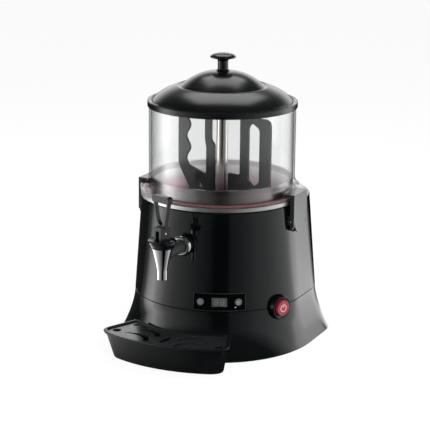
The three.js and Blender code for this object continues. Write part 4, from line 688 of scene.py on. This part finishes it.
pan_inner, pan_outer = 111.8, 113
pan_profile = rounded([
    (6.8, 162.8), (pan_outer, 162.8, 4), (pan_outer, 236.9, 1.2), (128.8, 236.9, 1), (128.8, 231.3),
    (130, 231.3, 0.5), (130, 238.1, 1.6), (pan_outer, 238.1, 1.2), (pan_outer, 262, 0.5),
    (pan_inner, 262, 0.5), (pan_inner, 164, 3), (6.8, 164)], 5)
pan = build("pan_steel", lathe(pan_profile, 160))
combine(pan, [shank_hole()])
pan = piece(shade(pan), BODY, steel_band, "steel", "product_pan")
pan.data.materials.append(pan_inside_painted_light)
pan.data.materials.append(pan_lip)
# Faces inside the pan take its painted-light copy of the steel, and faces above the lip height take its
# painted-shade copy.
inside_metres, lip_metres = 0.1125, 0.240
for polygon in pan.data.polygons:
    middle = polygon.center
    if math.hypot(middle.x, middle.y - SHIFT_Y / 1000) < inside_metres:
        polygon.material_index = 1
    elif middle.z > lip_metres:
        polygon.material_index = 2

lip = rounded([(109.9, 254, 0.5), (111.5, 254, 0.5), (111.5, 262.3), (113.3, 262.3), (113.3, 254, 0.3),
               (113.9, 254, 0.3), (114.2, 262.9, 0.8), (112.0, 263.9, 1), (109.9, 263.0, 0.8)])
spun("seal_on_pan_lip", lip, 128, BODY, clear_seal, "silicone", "pan_lip_seal")
flat_ring = rounded_box(114.8, 124.2, 238.4, 239.6, 0.3)
spun("seal_under_bowl", flat_ring, 128, BODY, silicone, "silicone", "bowl_gasket")

flange_reach, cove_steps = 131.5, 12
cove = []
for k in range(cove_steps + 1):
    turn = math.pi / 2 * k / cove_steps
    cove.append((flange_reach - 14 * math.sin(turn), 266 - 21.8 * math.cos(turn)))
bowl_profile = ([(114.5, 240.5), (115.1, 239.9), (130.8, 239.9), (flange_reach, 240.6)] + cove
                + [(117.5, 384.2), (116.8, 385), (115.2, 385), (114.5, 384.2)])
bowl = build("bowl_clear", lathe(bowl_profile, 192))
pads = []
for side in (-1, 1):
    pads.append(cut(box(*sorted((side * 118.4, side * 136)), -27.8, 27.8, FLANGE_TOP, 270)))
    pads.append(cut(box(*sorted((side * 124.2, side * 136)), -27.8, 27.8, 236, 266)))
combine(bowl, pads)
piece(shade(bowl, 30), BODY, clear, "clear", "container")

sleeve = rounded_box(8, 9, 176, 366, 0.3)
spun("stirrer_post", sleeve, 64, "stirrer", steel_post, "steel", "stirrer_sleeve")
softened("drive_cap", "drive_cap_rounded", 0.8, satin_black, "matt_black")

# Stirrer blades


def make_blades():
    foot, hub_top, top = 172, 198, 364
    half, wave_length, wave_start, wave_steps = 2.0, 37, 259, 48
    wide = rounded([(0, foot), (99.8, foot, 2), (99.8, top, 13), (38.5, top, 2), (38.5, 268, 4), (14, 268, 4),
                    (14, hub_top), (0, hub_top)], 8)
    slot = rounded([(66.65, 253, 5), (55.3, 261, 5), (55.3, 347.2, 6), (62.65, 355.2, 5), (78, 347.2, 6),
                    (78, 261, 5)], 6)
    waves = []
    for i in range(wave_steps + 1):
        z = mix(wave_start + wave_length / 4, top, i / wave_steps)
        waves.append((71.3 + 4.2 * math.cos(2 * math.pi * (316 - z) / wave_length), z))
    wave = rounded([(0, foot), (68, foot, 2), (68, 231, 6), (92, 266.8, 10), (92, top, 2)])
    wave += waves[::-1]
    wave += rounded([(57.85, wave_start, 3), (32, wave_start, 4), (32, 303, 3), (35, 316, 3), (35, top, 1),
                     (22, top, 1), (22, 316, 3), (14.8, 308.8, 3), (14.8, hub_top), (0, hub_top)],
                    closed=False)[1:]
    wave_slot = rounded([(38, 235, 1.5), (50, 235, 1.5), (44, 244, 3)])
    turn = Matrix.Rotation(math.radians(-15), 4, "Z")
    back = turn @ Matrix.Rotation(math.pi, 4, "Z")
    blade = build("blades", slab(wide, -half, half), turn @ FACING_FRONT)
    combine(blade, [cut(slab(slot, -5, 5), turn @ FACING_FRONT)])
    other = cut(slab(wave, -half, half), back @ FACING_FRONT)
    combine(other, [cut(slab(wave_slot, -5, 5), back @ FACING_FRONT)])
    combine(blade, [other, cut(rod(14, foot, hub_top, 64))], "UNION")
    combine(blade, [cut(rod(9.3, 160, 380, 64))])
    bevel(blade, 0.6, 2)
    piece(blade, "stirrer", paddle_black, "matt_black", "stirrer_paddle")


make_blades()

# Lid and knob

dome = bend((112.4, 382.2), (106, 396.5), (73, 408), 18)
crown = bend((67, 407), (41.54, 430), (12, 431), 18)
outer = dome + [(71, 407.8), (69.2, 407.2)] + crown
inner = offset_line(dome + crown, 2)[::-1]
rim_lip = [(117.8, 375.4), (118.2, 375), (119.3, 375), (119.8, 375.5), (119.8, 383.6), (119.2, 384.5),
           (117.6, 384.6), (116.6, 383.9), (116.0, 382.6), (115.2, 382.2)]
lid_profile = rim_lip + outer + [(2.3, 431), (2.3, 429)] + inner + [(109.6, 380.8), (117.8, 380.8)]
spun("lid_shell", lid_profile, 160, "lid", satin_black, "satin_black", "lid", angle=42)

stalk = bend((10.5, 432.1), (8.4, 433.1), (8.4, 435.5), 6) + [(8.4, 446.5)]
stalk += bend((8.4, 447.5), (9.4, 449.8), (12, 450.2), 6)
cap = bend((20.6, 453.8), (18.5, 459.4), (0, 460), 12)
knob_profile = [(0, 431.3), (10.2, 431.3), (10.5, 431.7)] + stalk + [(19.4, 451.9), (20.4, 452.6)] + cap
spun("lid_handle", knob_profile, 72, "lid", satin_black, "satin_black", "lid_knob", closed=False, angle=42)

# Control panel


def on_panel(angle):
    """A place on the panel, at a bearing from its middle."""
    return outward(PANEL_ANGLE + angle, wall(PANEL_Z) + PANEL_PROUD, PANEL_Z)


plate = build("panel_plate", band(7.6, 41.2, 76.6, 104.2, 0.3, 1.45))
cuts = [cut(rod(5.75, -8, 4, 64), on_panel(side * BUTTON_ANGLE)) for side in (-1, 1)]
cuts.append(cut(box(-12.15, 12.15, -7.35, 7.35, -3, 4), on_panel(0)))
combine(plate, cuts)
piece(shade(plate, 30), BODY, panel_film, "satin_black", "panel_bezel")
rim = build("panel_rim", band(7.4, 41.4, 76.4, 104.4, 0.3, PANEL_PROUD))
combine(rim, [cut(band(7.75, 41.05, 77.2, 103.6, -1, 4))])
piece(shade(bevel(rim, 0.2, 2), 30), BODY, matt_black, "satin_black")

button_profile = [(0, 0.9)] + bend((3.6, 1.0), (4.8, 1.25), (5.2, 1.1), 4) + [
    (5.6, 0.7), (5.6, -3.1), (6.6, -3.1), (6.6, -4.3), (2.2, -4.3), (2.2, -9.8), (0, -9.8)]
button_ring = [(2.6, 0.9), (3.1, 0.9), (3.1, 1.1), (2.6, 1.1)]
for word, side in (("left", -1), ("right", 1)):
    button = "button_" + word
    place = on_panel(side * BUTTON_ANGLE)
    spun("button_face_" + word, button_profile, 48, button, button_face, "satin_black", button, place=place,
         closed=False)
    spun("button_ring_" + word, button_ring, 40, button, grey_mark, "display", place=place)
    sign = build("button_sign_" + word, box(-1.6, 1.6, -0.3, 0.3, 0.8, 1.1), place)
    if side > 0:
        combine(sign, [cut(box(-0.3, 0.3, -1.6, 1.6, 0.8, 1.1), place)], "UNION")
    piece(sign, button, grey_mark, "display")

# Each segment of a digit: its place across and up as shares, and whether it lies flat.
SEGMENTS = ((0, 1, 1), (1, 0.5, 0), (1, -0.5, 0), (0, -1, 1), (-1, -0.5, 0), (-1, 0.5, 0), (0, 0, 1))


def digit(x_middle, word):
    half_width, half_height, thick, slant = 2.5, 4.0, 0.45, 0.08
    points, faces = [], []
    for u, v, flat in SEGMENTS:
        x, y = x_middle + u * half_width, v * half_height
        a, b = (2.0, thick) if flat else (thick, 1.7)
        left, right, low, high = x - a, x + a, y - b, y + b
        if flat:
            outline = [(left - thick, y), (left, low), (right, low), (right + thick, y), (right, high),
                       (left, high)]
        else:
            outline = [(left, low), (x, low - thick), (right, low), (right, high), (x, high + thick),
                       (left, high)]
        more, more_faces = slab([(px + py * slant, py) for px, py in outline], -0.1, 0.06)
        faces += [tuple(i + len(points) for i in f) for f in more_faces]
        points += more
    piece(build("digit_" + word, (points, faces), on_panel(0)), BODY, digit_grey, "display")


softened("display_window", "display_glass", 0.35, glass_display, "display")
digit(-4.6, "tens")
digit(4.6, "ones")
sign_z = 82.6
tip = build("panel_sign", slab([(-1.7, -1.0), (1.7, -1.0), (0.2, 1.1)], -0.3, 0.08),
            outward(PANEL_ANGLE + 10.3, wall(sign_z) + 1.45, sign_z))
piece(tip, BODY, grey_mark, "display")

# Power switch

switch_place = outward(SWITCH_ANGLE, wall(SWITCH_Z), SWITCH_Z)
bezel = rounded([(12.9, -6), (20, -6), (20, 3.0, 0.8), (18.2, 9.5, 1.4), (16.4, 9.5, 1.0), (15.4, 8.6, 1.0),
                 (12.9, 8.2, 0.6)])
spun("switch_ring", bezel, 96, BODY, gloss_black, "satin_black", "switch_bezel", place=switch_place)
push = [(0, 12.0)] + bend((7.5, 12.1), (10.5, 12.3), (11.4, 12.75), 6)
push += bend((11.4, 12.75), (12.5, 12.9), (12.6, 11.6), 4) + [(12.6, 3.9), (0, 3.9)]
spun("switch_push", push, 72, "power_button", red_cap, "red", "switch_cap", place=switch_place, closed=False)
sign_top = 12.3
ring_profile = [(5.0, 12.0), (6.1, 12.0), (6.1, sign_top), (5.0, sign_top)]
sign_ring = build("switch_sign_ring", lathe(ring_profile, 64), switch_place)
combine(sign_ring, [cut(box(-1.7, 1.7, 1, 9, 11, 14), switch_place)])
piece(sign_ring, "power_button", pink_mark, "red")
bar_outline = rounded_box(-0.55, 0.55, 1.2, 6.9, 0.5)
sign_bar = build("switch_sign_bar", slab(bar_outline, 11.95, sign_top), switch_place)
piece(sign_bar, "power_button", pink_mark, "red")

# Tap

tap_place = Matrix.Translation((0, TAP_Y, 0))
spring = link("tap_spring_wire", nodes["tap_spring"].data.copy())
piece(spring, nodes["tap_spring"]["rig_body"], steel_post, "steel", "tap_spring")
low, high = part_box("tap_spring")
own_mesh(spring)

spout_curve = bend((8.2, 156), (8.2, 163), (16.3, 191.5), 20)
spout_outer = [(8.2, 142.5), (8.2, 149)] + spout_curve
spout_inner = [p for p in offset_line(spout_outer, 1.8)[::-1] if p[1] > 160.5]
spout_profile = ([(6.4, 142.5), (6.9, 142), (7.7, 142)] + spout_outer + [(14.6, 191.5)] + spout_inner[1:]
                 + [(6.4, 160), (4.8, 160), (4.8, 158), (6.4, 158)])
spun("tap_spout", spout_profile, 96, BODY, chrome, "chrome", "tap_body", place=tap_place, angle=42)
collar = rounded([(7.7, 191.8), (17.2, 191.8, 0.3), (17.8, 192.4, 0.4), (18.8, 195.2, 0.6),
                  (21.4, 199.4, 1.5), (21.9, 202.8, 0.8), (20.5, 204.2, 0.6), (3, 204.2), (3, 199.8),
                  (7.7, 199.8)])
spun("tap_collar", collar, 96, BODY, gloss_black, "gloss_black", "tap_bonnet", place=tap_place)

shank_place = outward(0, 0, SHANK_Z)
flange_radius, flange_thick, fit_gap = 14.5, 3, 0.3
back = wall(SHANK_Z - flange_radius) + fit_gap
front = back + flange_thick
flange = rounded([(SHANK_HOLE, back), (flange_radius, back, 0.4), (flange_radius, front, 1.2),
                  (SHANK_HOLE, front)])
spun("tap_flange", flange, 72, BODY, chrome, "chrome", "escutcheon", place=shank_place)
nb = front + fit_gap
nut = ([(SHANK_HOLE, nb), (16.4, nb), (17, nb + 0.6)] + bend((17, nb + 4.3), (17, nb + 12), (12.2, nb + 13))
       + [(11.4, nb + 12.7), (10.6, nb + 12.0), (SHANK_HOLE, nb + 12.0)])
spun("tap_nut", nut, 96, BODY, chrome, "chrome", "shank_nut", place=shank_place, angle=42)


def make_lever():
    neck_half, loop_low, bar_low, pin_z = 7.8, 227.5, 262, 215
    turned = tap_place @ Matrix.Rotation(math.radians(HANDLE_TURN), 4, "Z")
    place = turned @ FACING_FRONT
    legs = rounded([(-neck_half, 220), (neck_half, 220), (17, 267), (-17, 267)])
    loop = two_bends((12.8, bar_low), (8.5, loop_low), (0, loop_low), (-8.5, loop_low), (-12.8, bar_low), 14)
    bar = rounded([(-18, bar_low, 2.5), (18, bar_low, 2.5), (18, 272.5, 5), (-18, 272.5, 5)], 6)
    lever = build("tap_lever", slab(legs, -3.5, 3.5), place)
    combine(lever, [cut(slab(loop, -20, 20), place)])
    neck = cut(box(-neck_half, neck_half, -10, 10, 204.5, 225), turned)
    combine(lever, [cut(slab(bar, -4.75, 4.75), place), neck], "UNION")
    stem_slot = cut(box(-3.5, 3.5, -20, 20, 198, 218.8), turned)
    pin_hole = cut(rod(1.75, -23, 23, 24), turned @ Matrix.Translation((0, 0, pin_z)) @ FACING_SIDE)
    combine(lever, [stem_slot, pin_hole])
    bevel(lever, 1.1, 4)
    piece(lever, "tap_handle", handle_black, "satin_black", "tap_handle")


make_lever()

# Side clips


def make_clip(word, side):
    """A clip at +X for side 1, or its twin opposite for side -1."""
    place = Matrix.Identity(4) if side > 0 else Matrix.Rotation(math.pi, 4, "Z")
    half, reach, tip, pin_z = 25.8, 138, 184, 204.6
    roof_low = FLANGE_TOP + 0.3
    roof_top = roof_low + 3.6
    cheek = rounded([(132, 191.5, 1.6), (136, 191.5, 1.6), (136, 196, 1), (reach, 196), (reach, roof_top),
                     (131.1, roof_top), (131.1, pin_z, 3)], 5)
    clip = build("clip_shell_" + word, slab(cheek, half - 3, half), place @ FACING_FRONT)
    other = cut(slab(cheek, -half, 3 - half), place @ FACING_FRONT)
    roof = cut(box(119, reach, -half, half, roof_low, roof_top), place)
    curve = two_bends((-half, 230), (-half, tip), (0, tip), (half, tip), (half, 230))
    tongue = cut(slab([(-half, roof_top)] + curve + [(half, roof_top)], 135.4, reach), place @ FACING_SIDE)
    combine(clip, [other, roof, tongue], "UNION")
    pin_place = place @ Matrix.Translation((132.6, 0, pin_z)) @ FACING_FRONT
    combine(clip, [cut(rod(1.35, -30, 30, 24), pin_place)])
    bevel(clip, 0.7, 3)
    piece(clip, "clip_" + word, clip_black, "satin_black", "clip_" + word)
    softened("clip_bracket_" + word, "clip_mount_" + word, 0.4, matt_black, "matt_black", 2)


make_clip("right", 1)
make_clip("left", -1)

# Drip tray and grate


def tray_outline(height, inset, rear_inset, z):
    """The tray's plan for a height of its flare, at z: two arcs about the axis and rounded corners."""
    front_corner, rear_corner, arc_steps = 22, 3, 48
    t = (height - TRAY_FOOT) / (TRAY_TOP - TRAY_FOOT)
    front = mix(221, 233.5, t) - inset
    rear = mix(177, 160, t) + rear_inset
    front_half = mix(100, 110, t) - inset
    rear_half = mix(80, 81, t) - inset

    def arc(reach, x):
        return (x, -math.sqrt(reach * reach - x * x))

    rc, fc = arc(rear, rear_half), arc(front, front_half)
    side_length = math.dist(rc, fc)
    side_point = tuple(mix(f, r, front_corner / side_length) for f, r in zip(fc, rc))
    front_point = arc(front, front_half - front_corner)
    front_round = bend(side_point, fc, front_point)
    rear_side = tuple(mix(r, f, rear_corner / side_length) for f, r in zip(fc, rc))
    rear_round = bend(arc(rear, rear_half - rear_corner), rc, rear_side, 4)
    steps = range(1, arc_steps)
    rear_arc = [arc(rear, (rear_half - rear_corner) * (2 * i / arc_steps - 1)) for i in steps]
    front_arc = [arc(front, front_point[0] * (1 - 2 * i / arc_steps)) for i in steps]
    front_mirror = [(-x, y) for x, y in front_round][::-1]
    rear_mirror = [(-x, y) for x, y in rear_round][::-1]
    pts = rear_mirror + rear_arc + rear_round + front_round + front_arc + front_mirror
    return [(x, y, z) for x, y in pts[::-1]]


def make_tray():
    top, low, ledge = TRAY_TOP, 41.0, 39.5
    # Each row is a height of the flare, an inset, the inset of the rear, and z.
    rows = (
        (1, 1.2, 1.2, 1), (1.6, 0.3, 0.3, 1.4), (3, 0, 0, 3), (low, 0, 0, low - 0.6), (low, -0.5, -0.2, low),
        (low, -2.1, 0, low), (low, -2.5, 0, low + 0.5), (top, -2.5, 0, top - 0.9), (top, -2.2, 0, top - 0.25),
        (top, -1.6, 0.1, top), (ledge, 0.6, 0.6, top), (ledge, 1.1, 1.1, top - 0.3),
        (ledge, 1.25, 1.25, top - 0.9), (ledge, 1.25, 1.25, ledge), (ledge, 4.25, 4.25, ledge),
        (3.5, 3.6, 3.6, 5), (3.5, 5, 5, 3.6))
    tray = build("tray_shell", loft([tray_outline(*row) for row in rows]))
    hooks = [cut(box(x - 8, x + 8, -162.5, -142.5, 33, 36)) for x in (-TRAY_HOOK_X, TRAY_HOOK_X)]
    combine(tray, hooks, "UNION")
    piece(shade(tray, 34), "drip_tray", tray_black, "satin_black", "drip_tray")


def make_grate():
    low, high, gap = 39.8, 42.8, 1.55
    size, start = 100, 150
    outline = [(x, y) for x, y, _ in tray_outline(low - 0.3, gap, gap, low)]
    grate = build("grate_plate", slab(outline, low, high))
    holes = []

    def crescent(points, side):
        """A slot from five points, as shares of a square that starts ahead of the axis."""
        return two_bends(*[(side * u * size, -mix(start, start + size, v)) for u, v in points])

    rear = [(0.135, 0.4), (0.2225, 0.07), (0.66, 0.2), (0.2675, 0.215), (0.205, 0.45)]
    front = [(0.2, 0.67), (0.25, 0.31), (0.74, 0.47), (0.31, 0.465), (0.28, 0.7)]
    for side in (-1, 1):
        for points in (rear, front):
            holes.append(cut(slab(crescent(points, side), low - 3, high + 3)))
        for radius, x, y in ((6.8, 87.5, -193), (4.8, 72.5, -157)):
            holes.append(cut(rod(radius, low - 3, high + 3, 40), Matrix.Translation((side * x, y, 0))))
    leaf = two_bends((0, -217), (11, -198.5), (0, -180), (-11, -198.5), (0, -217))[:-1]
    holes.append(cut(slab(leaf, low - 3, high + 3)))
    combine(grate, holes)
    bevel(grate, 0.45, 2, 40)
    piece(grate, "drip_grate", grate_grey, "grate_grey", "drip_grate")


make_tray()
make_grate()

# Cord gland

gland_radius = 12
seat = base_plan(GLAND_Z - gland_radius)[2]
gland_end = 164 - seat
gland = rounded([(3.6, -11), (9, -11), (9, 0.3), (gland_radius, 0.3, 0.5), (gland_radius, 3.3, 1),
                 (9, 3.3, 0.8), (8.7, gland_end, 1), (3.6, gland_end, 0.6)])
gland_place = Matrix.Translation((GLAND_X, seat, GLAND_Z)) @ Matrix.Rotation(-math.pi / 2, 4, "X")
spun("gland_rubber", gland, 48, BODY, rubber, "rubber", "cord_gland", place=gland_place)

# Stage: floor, world and lamps

# What gloss surfaces mirror: grey levels by bearing, as shares of the brightest panel. One bright panel is at
# the left and one at the right rear. It is dark in front of the machine and behind it.
STUDIO_LIGHT = 3.8
STUDIO = ((-180, 0), (-97, 0.01), (-87, 0.09), (-78, 0.65), (-69, 1), (-62, 0.72), (-53, 0.46),
          (-48, 0.32), (-41, 0.24), (-35, 0.18), (-24, 0.13), (-13, 0.085), (-3, 0.055), (8, 0.03),
          (15, 0.01), (18, 0), (35, 0), (38, 0.03), (54, 0.06), (65, 0.094), (77, 0.14), (88, 0.166),
          (105, 0.25), (121, 0.325), (127, 0.415), (133, 0.68), (146, 0.64), (153, 0.5), (161, 0.08),
          (168, 0), (180, 0))


def studio_levels(tree, coords, table):
    """Grey levels by the bearing of a direction, or of a place, from the machine's axis."""
    axes = tree.add("ShaderNodeSeparateXYZ")
    tree.join(coords, axes.inputs[0])
    forwards = maths(tree, "MULTIPLY", axes.outputs["Y"], -1)
    bearing = maths(tree, "ARCTAN2", axes.outputs["X"], forwards)
    marks = [((angle + 180) / 360, (level, level, level)) for angle, level in table]
    return colour_run(tree, spread(tree, bearing, 0, 1, -math.pi, math.pi), marks), axes.outputs["Z"]


def grey_light(tree, kind, level):
    light = tree.add(kind, Strength=1.0)
    light.inputs["Color"].default_value = (level, level, level, 1)
    return light


def seen_directly(tree, path):
    """A factor of 1 for what the camera sees, also through clear parts."""
    return maths(tree, "MAXIMUM", path.outputs["Is Camera Ray"], path.outputs["Is Transmission Ray"])


def make_floor():
    """A pale floor, which gloss surfaces mirror as part of the studio, with a painted shadow under the
    machine in what they mirror.
    """
    half, glow_share, painted_shadow_start, painted_shadow_end = 30, 0.88, 0.165, 0.215
    mesh = bpy.data.meshes.new("floor")
    corners = [(-half, -half, 0), (half, -half, 0), (half, half, 0), (-half, half, 0)]
    mesh.from_pydata(corners, [], [(0, 1, 2, 3)])
    floor = link("floor", mesh)
    material, tree = new_material("floor_pale")
    shader = tree.named("Principled BSDF")
    coords = tree.add("ShaderNodeTexCoord").outputs["Object"]
    paleness = tint(tree, grain(tree, coords, 3), (0.78, 0.78, 0.78), (0.80, 0.80, 0.80))
    tree.join(paleness, shader.inputs["Base Color"])
    shader.inputs["Roughness"].default_value = 0.9
    shader.inputs["Specular IOR Level"].default_value = 0.1
    path = tree.add("ShaderNodeLightPath")
    share = maths(tree, "MULTIPLY", seen_directly(tree, path), glow_share)
    glow = grey_light(tree, "ShaderNodeEmission", 1)
    seen = blend_shaders(tree, share, shader.outputs[0], glow.outputs[0])
    # Painted shadow: what gloss surfaces see of the floor is black within 0.165 m of the axis and fades in by
    # 0.215 m.
    mirrored = tree.add("ShaderNodeEmission")
    reach = tree.add("ShaderNodeVectorMath", operation="LENGTH")
    tree.join(coords, reach.inputs[0])
    strength = spread(tree, reach.outputs["Value"], 0, STUDIO_LIGHT, painted_shadow_start, painted_shadow_end)
    tree.join(strength, mirrored.inputs["Strength"])
    tree.join(studio_levels(tree, coords, STUDIO)[0], mirrored.inputs["Color"])
    both = blend_shaders(tree, path.outputs["Is Glossy Ray"], seen, mirrored.outputs[0])
    tree.join(both, tree.named("Material Output").inputs["Surface"])
    floor.data.materials.append(material)


def make_world():
    """White for the camera, the studio for gloss surfaces, and even light for the rest."""
    backdrop, even_light, fade_start, fade_end = 0.45, 0.8, 0.26, 0.46
    world = bpy.data.worlds.new("studio")
    scene.world = world
    world.use_nodes = True
    tree = Nodes(world.node_tree)
    ambient = tree.named("Background")
    ambient.inputs["Color"].default_value = (1, 1, 1, 1)
    ambient.inputs["Strength"].default_value = even_light
    # Above the floor the studio has a pale backdrop behind the machine.
    around = ((-130, backdrop), (-112, 0)) + STUDIO[1:-2] + ((172, backdrop),)
    levels, rise = studio_levels(tree, tree.add("ShaderNodeTexCoord").outputs["Generated"], around)
    mirrored = tree.add("ShaderNodeBackground", Strength=STUDIO_LIGHT)
    tree.join(levels, mirrored.inputs["Color"])
    overhead = grey_light(tree, "ShaderNodeBackground", 0.06)
    white = grey_light(tree, "ShaderNodeBackground", 1)
    path = tree.add("ShaderNodeLightPath")
    height_share = spread(tree, rise, 0, 1, fade_start, fade_end)
    studio_light = blend_shaders(tree, height_share, mirrored.outputs[0], overhead.outputs[0])
    inner_light = blend_shaders(tree, path.outputs["Is Glossy Ray"], ambient.outputs[0], studio_light)
    all_light = blend_shaders(tree, seen_directly(tree, path), inner_light, white.outputs[0])
    tree.join(all_light, tree.named("World Output").inputs["Surface"])


def lamp(name, azimuth, elevation, distance, width, height, power, mirrored_too):
    """A box light that faces the machine's middle. Its distance and sides are in metres."""
    data = bpy.data.lights.new(name, "AREA")
    data.shape = "RECTANGLE"
    data.size, data.size_y = width, height
    data.energy = power
    obj = link(name, data)
    a, e = math.radians(azimuth), math.radians(elevation)
    aim = Vector((0, SHIFT_Y / 1000, 0.23))
    away = Vector((math.sin(a) * math.cos(e), -math.cos(a) * math.cos(e), math.sin(e)))
    obj.location = aim + away * distance
    obj.rotation_mode = "QUATERNION"
    obj.rotation_quaternion = (-away).to_track_quat("-Z", "Y")
    obj.visible_camera = False
    obj.visible_glossy = mirrored_too


make_floor()
make_world()
lamp("rear_box", 203, 63, 1.7, 1.2, 1.05, 12, True)
lamp("front_box", 35, 24, 2.2, 1.2, 0.8, 46, False)
lamp("right_box", 118, 6, 1.5, 0.9, 1.5, 30, False)
lamp("left_box", -95, 12, 1.7, 0.6, 1.4, 12, False)

# Camera at the photograph's angle, with its place in metres and its turns in radians


def make_camera():
    sensor, picture_pixels, focal_pixels = 36, 430, 1602.4
    away, rise = 2.5153, 0.8488
    turn, yaw, pitch, roll = 0.4378, -0.0041, 0.2545, 0.0100
    data = bpy.data.cameras.new("camera")
    data.sensor_width = sensor
    data.lens = focal_pixels / picture_pixels * sensor
    data.clip_end = 60
    camera = link("camera", data)
    place = (away * math.sin(turn), -away * math.cos(turn) + SHIFT_Y / 1000, rise)
    heading = turn - yaw
    flat = math.cos(pitch)
    forward = Vector((-math.sin(heading) * flat, math.cos(heading) * flat, -math.sin(pitch)))
    level = Vector((math.cos(heading), math.sin(heading), 0))
    upright = level.cross(forward)
    right = level * math.cos(roll) + upright * math.sin(roll)
    up = upright * math.cos(roll) - level * math.sin(roll)
    camera.matrix_world = Matrix((*zip(right, up, -forward, place), (0, 0, 0, 1)))
    scene.camera = camera


make_camera()
scene.view_settings.view_transform = "Standard"
